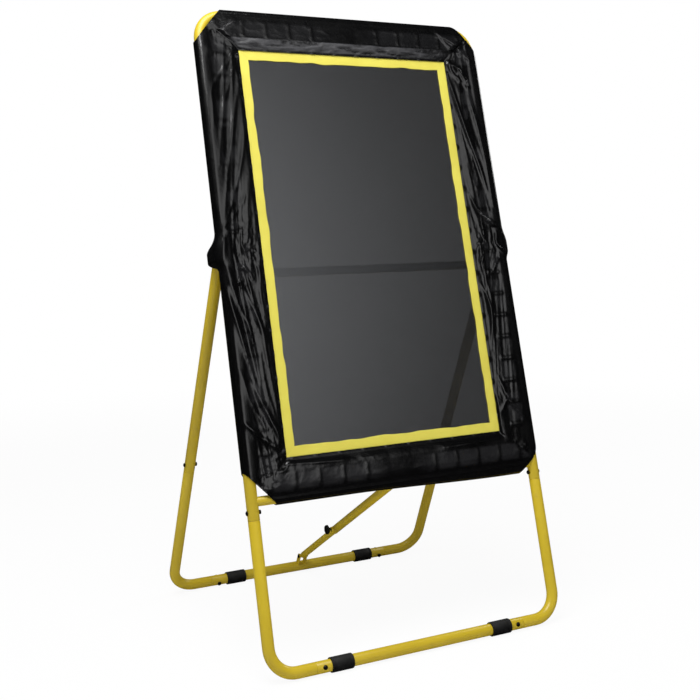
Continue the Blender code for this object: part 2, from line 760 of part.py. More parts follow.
def build_springs(frame, front):
    for name, eye, outwards, reach, tube_r, tube_name in spring_rows():
        sideways = Vector((-outwards.y, outwards.x))
        points = spring_points(reach, tube_r)
        curve = bpy.data.curves.new(name, "CURVE")
        curve.dimensions = "3D"
        curve.bevel_depth = WIRE_R
        curve.bevel_resolution = 1
        curve.use_fill_caps = True
        spline = curve.splines.new("POLY")
        spline.points.add(len(points) - 1)
        for knot, (along, forward, aside) in zip(spline.points, points):
            flat = eye + outwards * along + sideways * aside
            knot.co = (flat.x, -forward, flat.y, 1)
        curve.materials.append(ZINC)
        spring = bpy.data.objects.new(name, curve)
        spring.parent = frame
        bpy.context.scene.collection.objects.link(spring)
        skin = reach - math.sqrt(tube_r**2 - SPRING_FORWARD**2)
        hole = eye + outwards * skin
        turn = Vector((outwards.x, 0, outwards.y)).to_track_quat("Z", "Y").to_euler()
        place = (hole.x, -SPRING_FORWARD, hole.y)
        radius = WIRE_R + HOOK_FIT
        drill(f"{name}_hole", frame, place, turn, radius, -0.006, 0.006, [front[tube_name]], 8)
    side_gap = least_gap(spring_points(SIDE_X - HALF_MAT - EYE_OUT, TUBE_R))
    print(f"least gap of a spring to itself: {side_gap * 1000:.2f} mm")


def build_mat(frame):
    """The woven mat with a tab for each modelled spring, and the webbing sewn round it."""
    half_tab = TAB_WIDTH / 2
    right = [(up, HALF_MAT, 1) for up in side_spring_heights()]
    outline = [(HALF_MAT, MAT_BOTTOM)]
    for up, edge, _ in right:
        outline += [(edge, up - half_tab), (edge + TAB_REACH, up - half_tab)]
        outline += [(edge + TAB_REACH, up + half_tab), (edge, up + half_tab)]
    outline.append((HALF_MAT, MAT_TOP))
    for x in reversed(end_spring_places()):
        outline += [(x + half_tab, MAT_TOP), (x + half_tab, MAT_TOP + TAB_REACH)]
        outline += [(x - half_tab, MAT_TOP + TAB_REACH), (x - half_tab, MAT_TOP)]
    outline.append((-HALF_MAT, MAT_TOP))
    for up, edge, _ in reversed(right):
        outline += [(-edge, up + half_tab), (-edge - TAB_REACH, up + half_tab)]
        outline += [(-edge - TAB_REACH, up - half_tab), (-edge, up - half_tab)]
    outline.append((-HALF_MAT, MAT_BOTTOM))
    for x in end_spring_places():
        outline += [(x - half_tab, MAT_BOTTOM), (x - half_tab, MAT_BOTTOM - TAB_REACH)]
        outline += [(x + half_tab, MAT_BOTTOM - TAB_REACH), (x + half_tab, MAT_BOTTOM)]
    back = -MAT_FORWARD + MAT_THICKNESS / 2
    front = back - MAT_THICKNESS
    mat = finish(extruded(outline, front, back, 1), "mat", frame, MAT_BLACK, smooth=False)
    for name, eye, *_ in spring_rows():
        place = (eye.x, -MAT_FORWARD, eye.y)
        turn = (math.pi / 2, 0, 0)
        depth = MAT_THICKNESS * 2
        drill(f"{name}_eye", frame, place, turn, WIRE_R + HOOK_FIT, -depth, depth, [mat], 8)

    near = front - GAP
    far = near - WEBBING_THICKNESS
    bm = bmesh.new()
    rings = []
    for y, inset in ((near, 0), (far, 0), (far, WEBBING_WIDTH), (near, WEBBING_WIDTH)):
        x = HALF_MAT - inset
        low = MAT_BOTTOM + inset
        high = MAT_TOP - inset
        rings.append(add_ring(bm, [(-x, y, low), (x, y, low), (x, y, high), (-x, y, high)]))
    join_rings(bm, rings, closed=True)
    finish(bm, "mat_webbing", frame, WEBBING, smooth=False)


def cover_section(tube_r, edge, wrap_back, bulge):
    """One section (outwards, forwards) of a cover panel, about the centre of the tube that it wraps."""
    inner = tube_r + COVER_CLEAR
    skins = []
    for thickness in (0, COVER):
        skin = [(-edge, COVER_EDGE_FORWARD + thickness)]
        angles = [math.pi / 2 - (math.pi / 2) * i / 4 for i in range(5)]
        angles += [-wrap_back * i / 3 for i in range(1, 4)]
        for angle in angles:
            radius = (inner + thickness) / math.cos(math.pi / 16)
            plain = Vector((math.cos(angle), math.sin(angle))) * radius
            if angle >= 0:
                swollen = Vector((math.cos(angle) * (radius + BULGE_OUT), plain.y))
            else:
                swollen = Vector((radius + BULGE_OUT, angle / wrap_back * BULGE_BACK))
            skin.append(tuple(plain.lerp(swollen, bulge)))
        skins.append(skin)
    return skins[0] + skins[1][::-1]


def cut_away(bm, point, beyond):
    """Removes what lies beyond a plane across the frame, and closes the cut."""
    normal = Vector((beyond[0], 0, beyond[1])).normalized()
    geometry = list(bm.verts) + list(bm.edges) + list(bm.faces)
    plane = Vector((point[0], 0, point[1])) - normal * GAP / 2
    bmesh.ops.bisect_plane(bm, geom=geometry, plane_co=plane, plane_no=normal, clear_outer=True)
    open_edges = [edge for edge in bm.edges if edge.is_boundary]
    bmesh.ops.holes_fill(bm, edges=open_edges, sides=0)


def build_covers(frame):
    """Four panels that wrap the frame tubes and lie over the springs, mitred at the corners."""
    skin = COVER + COVER_CLEAR
    out_x = SIDE_X + TUBE_R + skin
    out_top = FRAME_LENGTH + TUBE_R + skin
    out_low = CROSS_TUBE_UP - BAR_R - skin
    edge_x = HALF_MAT + COVER_EDGE_OUT
    edge_top = MAT_TOP + COVER_EDGE_OUT
    edge_low = MAT_BOTTOM - COVER_EDGE_OUT
    corners = []
    for edge_z, out_z, down in ((edge_top, out_top, COVER_CHAMFER_TOP), (edge_low, out_low, COVER_CHAMFER_BOTTOM)):
        sign = 1 if out_z > edge_z else -1
        inner = Vector((edge_x, edge_z))
        on_end = Vector((out_x - COVER_CHAMFER, out_z))
        on_side = Vector((out_x, out_z - sign * down))
        chamfer = Vector((down, COVER_CHAMFER * sign))
        corners.append((inner, on_end, on_side, chamfer, sign))

    side_edge = SIDE_X - edge_x
    rows = [(out_low, 0.0)] + [(PIVOT_UP + rise, bulge) for rise, bulge in BULGE_ROWS] + [(out_top, 0.0)]
    for side, label in SIDES_OF_OBJECT:
        bm = bmesh.new()
        rings = []
        for up, bulge in rows:
            section = cover_section(TUBE_R, side_edge, WRAP_BACK, bulge)
            rings.append(add_ring(bm, [(SIDE_X + out, -forward, up) for out, forward in section]))
        join_rings(bm, rings)
        bm.faces.new(rings[0][::-1])
        bm.faces.new(rings[-1])
        for inner, on_end, on_side, chamfer, sign in corners:
            middle = (on_end + on_side) / 2
            along = middle - inner
            cut_away(bm, inner, (-along.y * sign, along.x * sign))
            cut_away(bm, on_side, chamfer)
        if side < 0:
            mirrored(bm)
        finish(bm, f"cover_{label}", frame, VINYL)

    for name, tube_r, centre, edge_z, wrap_back, index in (
        ("cover_top", TUBE_R, FRAME_LENGTH, edge_top, WRAP_BACK, 0),
        ("cover_bottom", BAR_R, CROSS_TUBE_UP, edge_low, WRAP_BACK_BOTTOM, 1),
    ):
        inner, on_end, on_side, chamfer, sign = corners[index]
        section = cover_section(tube_r, abs(centre - edge_z), wrap_back, 0.0)
        bm = bmesh.new()
        rings = []
        for x in (-out_x, out_x):
            rings.append(add_ring(bm, [(x, -forward, centre + sign * out) for out, forward in section]))
        join_rings(bm, rings)
        bm.faces.new(rings[0][::-1])
        bm.faces.new(rings[-1])
        middle = (on_end + on_side) / 2
        along = middle - inner
        for side in (-1, 1):
            cut_away(bm, (side * inner.x, inner.y), (side * along.y * sign, -along.x * sign))
            cut_away(bm, (side * on_side.x, on_side.y), (side * chamfer.x, chamfer.y))
        finish(bm, name, frame, VINYL)


def print_motion():
    """What the joints need: the pivots, the fold and what the brace does meanwhile."""
    fold = LEAN + STAND_TILT
    folded_foot = STAND_PIVOT + Matrix.Rotation(-fold, 3, "X") @ (BRACE_FOOT - STAND_PIVOT)
    folded = folded_foot - BRACE_TOP
    folded_tilt = math.atan2(folded.y, -folded.z)
    for name, place in (("stand pivot", STAND_PIVOT), ("brace top", BRACE_TOP), ("brace foot", BRACE_FOOT)):
        print(name, [round(value, 5) for value in place])
    print("fold", round(math.degrees(fold), 3), "brace turn", round(math.degrees(BRACE_TILT - folded_tilt), 3))
    print("brace span", round(BRACE_SPAN, 5), "stroke", round(BRACE_SPAN - folded.length, 5))
    along = (BRACE_FOOT - BRACE_TOP).normalized()
    knob = BRACE_TOP + along * (BRACE_LENGTH - KNOB_FROM_END)
    print("knob place", [round(value, 5) for value in knob])


clear_scene()
YELLOW = make_material("yellow_paint", (0.58, 0.46, 0.05), 0.35)
RUBBER = make_material("black_rubber", (0.01, 0.01, 0.01), 0.7)
PLASTIC = make_material("black_plastic", (0.01, 0.01, 0.01), 0.4)
ZINC = make_material("zinc_steel", (0.5, 0.5, 0.48), 0.4, 1.0)
STEEL = make_material("plain_steel", (0.4, 0.4, 0.4), 0.5, 1.0)
MAT_BLACK = make_material("woven_mat", (0.03, 0.03, 0.035), 0.7)
WEBBING = make_material("yellow_webbing", (0.85, 0.78, 0.2), 0.75)
VINYL = make_material("black_vinyl", (0.012, 0.012, 0.014), 0.3)

SIDES_OF_OBJECT = ((-1, "left"), (1, "right"))

frame_axis = make_axis("front_frame_axis", FRONT_RAIL, -LEAN)
stand_axis = make_axis("rear_stand_axis", STAND_PIVOT, STAND_TILT)
brace_axis = make_axis("brace_axis", BRACE_TOP, BRACE_TILT)

front_tubes = build_front_tubes(frame_axis)
rear_tubes = build_rear_tubes(stand_axis)
build_joint_bolts(frame_axis, stand_axis, front_tubes, rear_tubes)
build_sleeves(frame_axis, stand_axis)
build_pivots(frame_axis, front_tubes, rear_tubes)
brace_tube = build_brace(frame_axis, stand_axis, brace_axis, front_tubes, rear_tubes)
build_knob(brace_axis, brace_tube)
build_mat(frame_axis)
build_springs(frame_axis, front_tubes)
build_covers(frame_axis)
print_motion()
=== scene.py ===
# %% [markdown]
# # Dressing a lacrosse rebounder
# A rebounder is a leaning steel frame with a woven mat stretched in it on springs. A ball thrown
# at the mat comes back. A second frame behind it is the stand, and a brace that slides like a
# telescope holds the two apart. The solid model fixes every size and place, and this lesson
# gives each piece the surface, the folds and the small parts that one sees on the real object.

import json
import math

import bmesh
import bpy
import numpy as np
from mathutils import Matrix, Vector

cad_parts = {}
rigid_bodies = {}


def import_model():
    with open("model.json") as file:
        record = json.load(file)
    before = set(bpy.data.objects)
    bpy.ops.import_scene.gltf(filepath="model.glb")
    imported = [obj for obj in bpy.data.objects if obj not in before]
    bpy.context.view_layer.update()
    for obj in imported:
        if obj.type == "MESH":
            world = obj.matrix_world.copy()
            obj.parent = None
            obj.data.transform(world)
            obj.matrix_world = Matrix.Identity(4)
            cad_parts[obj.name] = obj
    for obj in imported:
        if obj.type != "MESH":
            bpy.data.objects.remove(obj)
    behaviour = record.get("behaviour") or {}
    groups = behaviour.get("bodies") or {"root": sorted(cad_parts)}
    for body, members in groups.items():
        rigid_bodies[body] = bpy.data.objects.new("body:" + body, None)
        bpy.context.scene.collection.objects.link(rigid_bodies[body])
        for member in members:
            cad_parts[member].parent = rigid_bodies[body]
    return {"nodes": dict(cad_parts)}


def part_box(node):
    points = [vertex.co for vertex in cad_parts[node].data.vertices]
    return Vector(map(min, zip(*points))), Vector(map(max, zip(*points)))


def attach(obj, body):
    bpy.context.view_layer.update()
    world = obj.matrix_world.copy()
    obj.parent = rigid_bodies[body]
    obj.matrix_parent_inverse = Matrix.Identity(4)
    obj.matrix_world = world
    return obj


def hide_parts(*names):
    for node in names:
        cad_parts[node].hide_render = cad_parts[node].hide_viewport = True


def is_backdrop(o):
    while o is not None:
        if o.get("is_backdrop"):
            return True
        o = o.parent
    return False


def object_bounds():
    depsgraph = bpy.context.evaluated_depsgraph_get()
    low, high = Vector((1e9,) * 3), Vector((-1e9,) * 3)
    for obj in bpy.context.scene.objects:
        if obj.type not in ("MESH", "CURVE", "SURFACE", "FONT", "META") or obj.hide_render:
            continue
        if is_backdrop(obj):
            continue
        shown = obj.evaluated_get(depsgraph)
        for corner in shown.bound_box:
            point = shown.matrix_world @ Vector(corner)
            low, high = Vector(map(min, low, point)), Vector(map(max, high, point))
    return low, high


for leftover in list(bpy.data.objects):
    bpy.data.objects.remove(leftover)
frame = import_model()
solid_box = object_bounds()
print("solids:", len(frame["nodes"]))

# %% [markdown]
# Nearly everything on this object lies on the leaning frame, so its places are easiest to say in
# the frame's own terms: how far across, how far up along the tubes, and how far forward of
# their centres. The lean is known, and the bottom rail's box gives the point where it starts.


# %% Places on the leaning frame
def middle(node):
    """The middle of a solid's box."""
    low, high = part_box(node)
    return (low + high) / 2


LEAN = math.radians(13.8)
FRONT_RAIL = middle("bottom_rail")
FRAME_UP = Vector((0, math.sin(LEAN), math.cos(LEAN)))
FRAME_FORWARD = Vector((0, -math.cos(LEAN), math.sin(LEAN)))


def on_frame(across, up, forward=0.0):
    """The world place of a point on the leaning frame."""
    return Vector((across, FRONT_RAIL.y, FRONT_RAIL.z)) + FRAME_UP * up + FRAME_FORWARD * forward


def all_on_frame(across, up, forward):
    """The same for whole arrays of points."""
    start = np.array((0, FRONT_RAIL.y, FRONT_RAIL.z))
    return start + np.outer(across, (1, 0, 0)) + np.outer(up, FRAME_UP) + np.outer(forward, FRAME_FORWARD)


SIDES = ((-1, "left"), (1, "right"))
SIDE_X = 0.531  # side tubes' centres
FRAME_LENGTH = 2.122
CROSS_TUBE_UP = 0.522
MID_BAR_UP = 1.2445
TUBE_R = 0.019
BAR_R = 0.015
print("the frame starts at", [round(value, 4) for value in FRONT_RAIL])

# %% [markdown]
# The camera stands to the left of the object at about head height and looks a little down.
# Its place, turn and lens were worked out from the frame's straight lines: a rectangle of known
# shape that is seen at an angle leaves only one place to stand. The small shift keeps upright
# lines as they are and moves the object in the picture.


# %% Camera
def add_object(name, data):
    """A new object that shows its data in the scene."""
    added = bpy.data.objects.new(name, data)
    bpy.context.scene.collection.objects.link(added)
    return added


def aim(yaw, pitch, roll):
    """A camera's turn from its heading to the right of +Y, its downward tilt and its roll."""
    ahead = Vector((math.sin(yaw) * math.cos(pitch), math.cos(yaw) * math.cos(pitch), -math.sin(pitch)))
    level = Vector((math.cos(yaw), -math.sin(yaw), 0))
    upright = level.cross(ahead)
    right = level * math.cos(roll) + upright * math.sin(roll)
    top = upright * math.cos(roll) - level * math.sin(roll)
    return Matrix((right, top, -ahead)).transposed().to_4x4()


CAMERA_AT = Vector((-1.7781, -3.4528, 1.3790))
CAMERA_TURN = [math.radians(angle) for angle in (26.9148, 2.8543, -1.1461)]
lens = bpy.data.cameras.new("camera")
lens.lens = 56.24
lens.sensor_width = 36
lens.shift_x = 0.0108
lens.shift_y = -0.1017
camera = add_object("camera", lens)
camera.matrix_world = Matrix.Translation(CAMERA_AT) @ aim(*CAMERA_TURN)
bpy.context.scene.camera = camera
print("the camera stands at", [round(value, 2) for value in CAMERA_AT])

# %% [markdown]
# Materials and tree-built shapes both need many nodes. One short function makes any node: it
# takes the node's type, then its settings, then a value or a link for each socket. Settings go
# first, because some of them change which sockets a node has.


# %% One way to make any node
def feed(node, inputs):
    """Gives sockets their values. A value that comes from another node is linked."""
    for name, value in inputs.items():
        if isinstance(value, Wire):
            value = value.socket
        if isinstance(value, bpy.types.NodeSocket):
            node.id_data.links.new(value, node.inputs[name])
        else:
            node.inputs[name].default_value = value


def make_node(tree, kind, settings=None, inputs=None):
    """A new node with its settings made and its sockets fed."""
    node = tree.nodes.new(kind)
    for name, value in (settings or {}).items():
        setattr(node, name, value)
    feed(node, inputs or {})
    return node


# %% [markdown]
# Shader maths reads best as plain sums. The small class below wraps a socket, so that
# `rough + 0.2 * dust` adds the two Math nodes by itself. The reflected forms, such as
# `__rsub__`, make `1 - mask` work as well.


# %% Sums of sockets
class Wire:
    """A number that comes out of a node."""

    def __init__(self, socket):
        self.socket = socket
        self.tree = socket.id_data

    def maths(self, operation, *values):
        settings = {"operation": operation}
        return Wire(make_node(self.tree, "ShaderNodeMath", settings, dict(enumerate(values))).outputs[0])

    def __add__(self, other):
        return self.maths("ADD", self, other)

    def __sub__(self, other):
        return self.maths("SUBTRACT", self, other)

    def __rsub__(self, other):
        return self.maths("SUBTRACT", other, self)

    def __mul__(self, other):
        return self.maths("MULTIPLY", self, other)

    __radd__ = __add__
    __rmul__ = __mul__

    def between(self, low, high):
        """0 below low, 1 above high and smooth from one to the other."""
        settings = {"interpolation_type": "SMOOTHSTEP"}
        inputs = {"Value": self, "From Min": low, "From Max": high}
        return Wire(make_node(self.tree, "ShaderNodeMapRange", settings, inputs).outputs[0])


# %% [markdown]
# Every finish is one Principled shader. The class below starts a material, places its
# coordinates, and offers the few patterns that the finishes share: a noise, a wave, a blend of
# two colours and a bump. Patterns read Object coordinates, or a piece's own UV map, which is in
# metres here, where the pattern has to follow cloth.


# %% A finish
class Finish:
    """A procedural material."""

    def __init__(self, name):
        self.material = bpy.data.materials.new(name)
        self.material.use_nodes = True
        self.tree = self.material.node_tree
        places = self.node("ShaderNodeTexCoord")
        self.object = places.outputs["Object"]
        self.cloth = places.outputs["UV"]

    def node(self, kind, settings=None, inputs=None):
        return make_node(self.tree, kind, settings, inputs)

    def made_of(self, values):
        """Feeds the shader and hands over the finished material."""
        feed(self.tree.nodes["Principled BSDF"], values)
        return self.material

    def noise(self, scale, detail=2.0, roughness=0.5, place=None, stretch=None, distortion=0.0):
        place = self.object if place is None else place
        if stretch is not None:
            place = self.node("ShaderNodeMapping", None, {"Vector": place, "Scale": stretch}).outputs[0]
        inputs = {"Vector": place, "Scale": scale, "Detail": detail, "Roughness": roughness}
        inputs["Distortion"] = distortion
        return Wire(self.node("ShaderNodeTexNoise", None, inputs).outputs[0])

    def wave(self, axis, scale, distortion=0.0):
        settings = {"wave_type": "BANDS", "bands_direction": axis}
        inputs = {"Vector": self.cloth, "Scale": scale, "Distortion": distortion, "Detail": 1.0}
        return Wire(self.node("ShaderNodeTexWave", settings, inputs).outputs["Fac"])

    def blend(self, mask, first, second):
        """A mix of two colours, each given as red, green and blue, or as a socket."""
        first, second = ((*colour, 1) if isinstance(colour, tuple) else colour for colour in (first, second))
        inputs = {0: mask, 6: first, 7: second}
        return self.node("ShaderNodeMix", {"data_type": "RGBA"}, inputs).outputs[2]

    def bump(self, height, strength, distance, under=None):
        inputs = {"Height": height, "Strength": strength, "Distance": distance}
        if under is not None:
            inputs["Normal"] = under
        return self.node("ShaderNodeBump", None, inputs).outputs[0]


# %% [markdown]
# The tubes are powder coated: a mustard yellow plastic skin, fused on in an oven. It has a fine
# orange peel, a slight drift in colour, and a few duller rubs from carrying and folding.


# %% Yellow powder coat
def powder_coat():
    coat = Finish("yellow_powder_coat")
    drift = coat.noise(3.0, 3.0)
    rubbed = coat.noise(38.0, 6.0, 0.65).between(0.58, 0.70)
    peel = coat.noise(620.0, 1.5)
    dents = coat.noise(90.0, 2.0)
    fresh = coat.blend(drift.between(0.3, 0.7), (0.55, 0.394, 0.012), (0.61, 0.448, 0.017))
    return coat.made_of({
        "Base Color": coat.blend(rubbed * 0.35, fresh, (0.49, 0.355, 0.028)),
        "Roughness": 0.34 + drift * 0.08 + rubbed * 0.18,
        "Coat Weight": 0.12,
        "Coat Roughness": 0.22,
        "Normal": coat.bump(peel + dents * 0.5, 0.18, 0.0004),
    })


YELLOW = powder_coat()
print("finish:", YELLOW.name, len(YELLOW.node_tree.nodes), "nodes")

# %% [markdown]
# The sleeves on the rails are soft rubber, matt and a little dusty. The clamp knob is a
# moulded plastic with a fine spark-eroded grain. Springs and eyelets are zinc plated, which
# gives a pale metal with cloudy patches rather than a mirror. The bolts are blackened steel.


# %% Rubber, plastic and metals
def rubber():
    skin = Finish("black_rubber")
    dust = skin.noise(45.0, 5.0, 0.6)
    grain = skin.noise(1400.0, 1.0)
    return skin.made_of({
        "Base Color": skin.blend(dust.between(0.45, 0.75), (0.004, 0.004, 0.004), (0.011, 0.010, 0.010)),
        "Roughness": 0.60 + dust * 0.25,
        "Normal": skin.bump(grain + dust * 0.6, 0.25, 0.0003),
    })


def moulded_plastic():
    skin = Finish("black_plastic")
    grain = skin.noise(1900.0, 1.0)
    wear = skin.noise(60.0, 4.0)
    return skin.made_of({
        "Base Color": skin.blend(wear.between(0.4, 0.8), (0.003, 0.003, 0.003), (0.008, 0.008, 0.009)),
        "Roughness": 0.42 + wear * 0.2,
        "Normal": skin.bump(grain, 0.3, 0.0002),
    })


def zinc_plate():
    plate = Finish("zinc_plate")
    cloud = plate.noise(120.0, 4.0, 0.6)
    scratch = plate.noise(700.0, 2.0, stretch=(1, 1, 0.15))
    return plate.made_of({
        "Base Color": plate.blend(cloud.between(0.35, 0.7), (0.50, 0.51, 0.53), (0.68, 0.68, 0.67)),
        "Metallic": 1.0,
        "Roughness": 0.26 + cloud * 0.22,
        "Normal": plate.bump(scratch, 0.12, 0.0002),
    })


def blackened_steel():
    """Black oxide, a little brown where it has worn."""
    bolt = Finish("blackened_steel")
    cloud = bolt.noise(300.0, 4.0, 0.6)
    return bolt.made_of({
        "Base Color": bolt.blend(cloud.between(0.4, 0.75), (0.030, 0.029, 0.028), (0.085, 0.070, 0.055)),
        "Metallic": 1.0,
        "Roughness": 0.34 + cloud * 0.22,
        "Normal": bolt.bump(cloud, 0.2, 0.0001),
    })


RUBBER = rubber()
PLASTIC = moulded_plastic()
ZINC = zinc_plate()
BOLT_STEEL = blackened_steel()
print("finishes:", RUBBER.name, PLASTIC.name, ZINC.name, BOLT_STEEL.name)

# %% [markdown]
# The mat is woven from coated polyester yarn, as on a trampoline: dense, black and slightly
# see-through, so that light from behind makes it a dark grey, and whatever stands behind it shows
# as a shadow. Its cloth is a thin solid with two faces, and each lets a little light through.


# %% Woven mat and webbing
YARN = 0.0016  # spacing of the mat's yarns
RIB = 0.0034  # spacing of the webbing's ribs


def woven_mat():
    mat = Finish("woven_mat")
    across = mat.wave("X", 1 / YARN / 2)
    along = mat.wave("Y", 1 / YARN / 2)
    weave = across * (1 - along) + along * (1 - across)
    drift = mat.noise(2.2, 3.0)
    slub = mat.noise(160.0, 2.0, place=mat.cloth, stretch=(1, 0.1, 1))
    return mat.made_of({
        "Base Color": mat.blend(drift * 0.6 + weave * 0.4, (0.0020, 0.0021, 0.0025), (0.005, 0.005, 0.006)),
        "Roughness": 0.15 + slub * 0.06,
        "Alpha": 0.831 + weave * 0.03 + drift * 0.02,
        "IOR": 1.90,
        "Specular IOR Level": 1.0,
        "Specular Tint": (0.93, 0.96, 1.0, 1),
        "Normal": mat.bump(weave + slub * 0.5, 0.12, 0.0004),
    })


def thick_webbing():
    """Polypropylene webbing: ribs run along it, crossed by fine picks."""
    strap = Finish("yellow_webbing")
    ribs = strap.wave("X", 1 / RIB / 2, 0.4)
    picks = strap.wave("Y", 1 / YARN / 2, 0.6)
    drift = strap.noise(9.0, 4.0)
    light = strap.blend(drift.between(0.3, 0.7), (0.74, 0.650, 0.075), (0.80, 0.720, 0.095))
    return strap.made_of({
        "Base Color": strap.blend(ribs * picks * 0.4, light, (0.60, 0.490, 0.030)),
        "Roughness": 0.45 + drift * 0.1,
        "Sheen Weight": 0.2,
        "Normal": strap.bump(ribs + picks * 0.4, 0.5, 0.0005),
    })


MAT_CLOTH = woven_mat()
WEBBING = thick_webbing()
print("finishes:", MAT_CLOTH.name, WEBBING.name)

# %% [markdown]
# The cover is glossy black vinyl with a fine leather grain. Its look comes from reflections, so
# the roughness carries the story: sharp where the vinyl is clean, duller where dust has settled
# on it. The attribute `dust` marks those places, and it also paints a paler grey into the colour:
# partly dust, partly painted sheen on the taut patches and painted highlights on the crease crests
# along the top. `rubbed` marks the bars over the springs, which are a little rougher and get none
# of that paler grey, so they stay dark.


# %% Black vinyl
def black_vinyl():
    vinyl = Finish("black_vinyl")
    grain = vinyl.node("ShaderNodeTexVoronoi", {"feature": "F1"}, {"Vector": vinyl.cloth, "Scale": 650.0})
    pores = Wire(grain.outputs["Distance"])
    cloud = vinyl.noise(14.0, 5.0, 0.6, place=vinyl.cloth)
    creases = vinyl.noise(55.0, 4.0, 0.6, place=vinyl.cloth, distortion=1.5)
    rubbed, dust = (
        Wire(vinyl.node("ShaderNodeAttribute", {"attribute_name": name}).outputs["Fac"])
        for name in ("rubbed", "dust")
    )
    black = vinyl.blend(cloud * 0.5, (0.0010, 0.0010, 0.0012), (0.0030, 0.0030, 0.0032))
    soft = vinyl.bump(creases, 0.16, 0.0016)
    return vinyl.made_of({
        # the paler grey where dust is high is partly dust, partly painted sheen and painted highlights
        "Base Color": vinyl.blend(dust * (0.6 + cloud * 0.8), black, (0.0500, 0.0500, 0.0540)),
        "Roughness": 0.13 + cloud * 0.12 + dust * 0.20 + rubbed * 0.06,
        "Specular IOR Level": 0.94,
        "Normal": vinyl.bump(pores, 0.10, 0.0003, soft),
    })


VINYL = black_vinyl()
print("finish:", VINYL.name)

# %% [markdown]
# The solids whose shape is already right keep it. Their names say what they are, so a word in
# the name is enough to choose the finish. All that is left is a yellow tube or bracket.

# %% Dress the solids
FINISH_BY_WORD = {"bolt": BOLT_STEEL, "sleeve": RUBBER, "cover": VINYL, "spring": ZINC, "webbing": WEBBING}
FINISH_BY_NAME = {"knob": PLASTIC, "mat": MAT_CLOTH}


def finish_for(node):
    for word, finish in FINISH_BY_WORD.items():
        if word in node:
            return finish
    return FINISH_BY_NAME.get(node, YELLOW)


for name, solid in frame["nodes"].items():
    if not solid.material_slots:
        solid.data.materials.append(None)
    for slot in solid.material_slots:
        slot.material = finish_for(name)
print("dressed", len(frame["nodes"]), "solids")

# %% [markdown]
# New pieces are plain meshes at the origin. These helpers make one from points and faces, give
# it a finish, smooth it up to a chosen angle, and let it ride on its body.


# %% Make a piece
def smooth(piece, sharp=40.0):
    piece.data.polygons.foreach_set("use_smooth", [True] * len(piece.data.polygons))
    piece.data.set_sharp_from_angle(angle=math.radians(sharp))


def make_piece(name, points, faces, material, sharp=40.0):
    mesh = bpy.data.meshes.new(name)
    mesh.from_pydata([tuple(point) for point in points], [], faces)
    mesh.materials.append(material)
    mesh.validate()
    piece = add_object(name, mesh)
    smooth(piece, sharp)
    return piece


def point_out(piece):
    """Turns all faces of a closed mesh outwards."""
    bm = bmesh.new()
    bm.from_mesh(piece.data)
    bmesh.ops.recalc_face_normals(bm, faces=bm.faces)
    bm.to_mesh(piece.data)
    bm.free()


def fit_out(piece, body, slot, *nodes):
    """The piece rides on a body and stands for some solids. The slot is not used."""
    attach(piece, body)
    if nodes:
        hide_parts(*nodes)
    return piece


# %% [markdown]
# A tube is a circle swept along a path with rounded bends, which is a job for Geometry Nodes:
# the path comes in as a straight-sided curve, Fillet Curve rounds its corners, and Curve to Mesh
# sweeps a circle along it. The tree has named inputs, so one tree serves every tube here.


# %% A tree that bends tubes
def new_tree(name, inputs):
    """A Geometry Nodes tree with named inputs and a finish, and its first and last node."""
    tree = bpy.data.node_groups.new(name, "GeometryNodeTree")
    sockets = tree.interface
    sockets.new_socket("Geometry", in_out="INPUT", socket_type="NodeSocketGeometry")
    for label, kind in {**inputs, "Finish": "Material"}.items():
        sockets.new_socket(label, in_out="INPUT", socket_type="NodeSocket" + kind)
    sockets.new_socket("Geometry", in_out="OUTPUT", socket_type="NodeSocketGeometry")
    given = make_node(tree, "NodeGroupInput").outputs
    return tree, given, make_node(tree, "NodeGroupOutput")


def close_tree(tree, last, given, shape):
    """Every tree ends alike: real geometry, smooth, with its finish."""
    real = make_node(tree, "GeometryNodeRealizeInstances", None, {"Geometry": shape})
    smoothed = make_node(tree, "GeometryNodeSetShadeSmooth", None, {"Geometry": real.outputs[0]})
    inputs = {"Geometry": smoothed.outputs[0], "Material": given["Finish"]}
    feed(last, {0: make_node(tree, "GeometryNodeSetMaterial", None, inputs).outputs[0]})
    return tree


def tube_tree():
    inputs = {"Radius": "Float", "Bend radius": "Float", "Bend steps": "Int", "Sides": "Int"}
    tree, given, last = new_tree("tube_along_path", inputs)
    inputs = {"Curve": given["Geometry"], "Count": given["Bend steps"], "Radius": given["Bend radius"]}
    inputs["Limit Radius"] = True
    bent = make_node(tree, "GeometryNodeFilletCurve", {"mode": "POLY"}, inputs)
    inputs = {"Resolution": given["Sides"], "Radius": given["Radius"]}
    profile = make_node(tree, "GeometryNodeCurvePrimitiveCircle", {"mode": "RADIUS"}, inputs)
    inputs = {"Curve": bent.outputs[0], "Profile Curve": profile.outputs[0], "Fill Caps": True}
    swept = make_node(tree, "GeometryNodeCurveToMesh", None, inputs)
    return close_tree(tree, last, given, swept.outputs[0])


TUBE_TREE = tube_tree()
print("tree:", TUBE_TREE.name, "with", len(TUBE_TREE.nodes), "nodes")

# %% [markdown]
# An object grows its shape from a tree through a modifier, and the modifier sets the tree's
# inputs. When the shape is right it is kept as a plain mesh, because each piece is handed on as
# a mesh. A curve object is a good start: it holds the path and nothing else.


# %% Grow a shape with a tree
def add_tree(piece, tree, values):
    """Adds a tree to an object. Inputs are set by their identifier."""
    modifier = piece.modifiers.new(tree.name, "NODES")
    modifier.node_group = tree
    for item in tree.interface.items_tree:
        if item.in_out == "INPUT" and item.name in values:
            modifier[item.identifier] = values[item.name]


def settle(piece, sharp=40.0):
    """Turns an object with modifiers into a plain mesh of the same name."""
    bpy.context.view_layer.update()
    graph = bpy.context.evaluated_depsgraph_get()
    mesh = bpy.data.meshes.new_from_object(piece.evaluated_get(graph), depsgraph=graph)
    name = mesh.name = piece.name
    bpy.data.objects.remove(piece)
    settled = add_object(name, mesh)
    smooth(settled, sharp)
    return settled


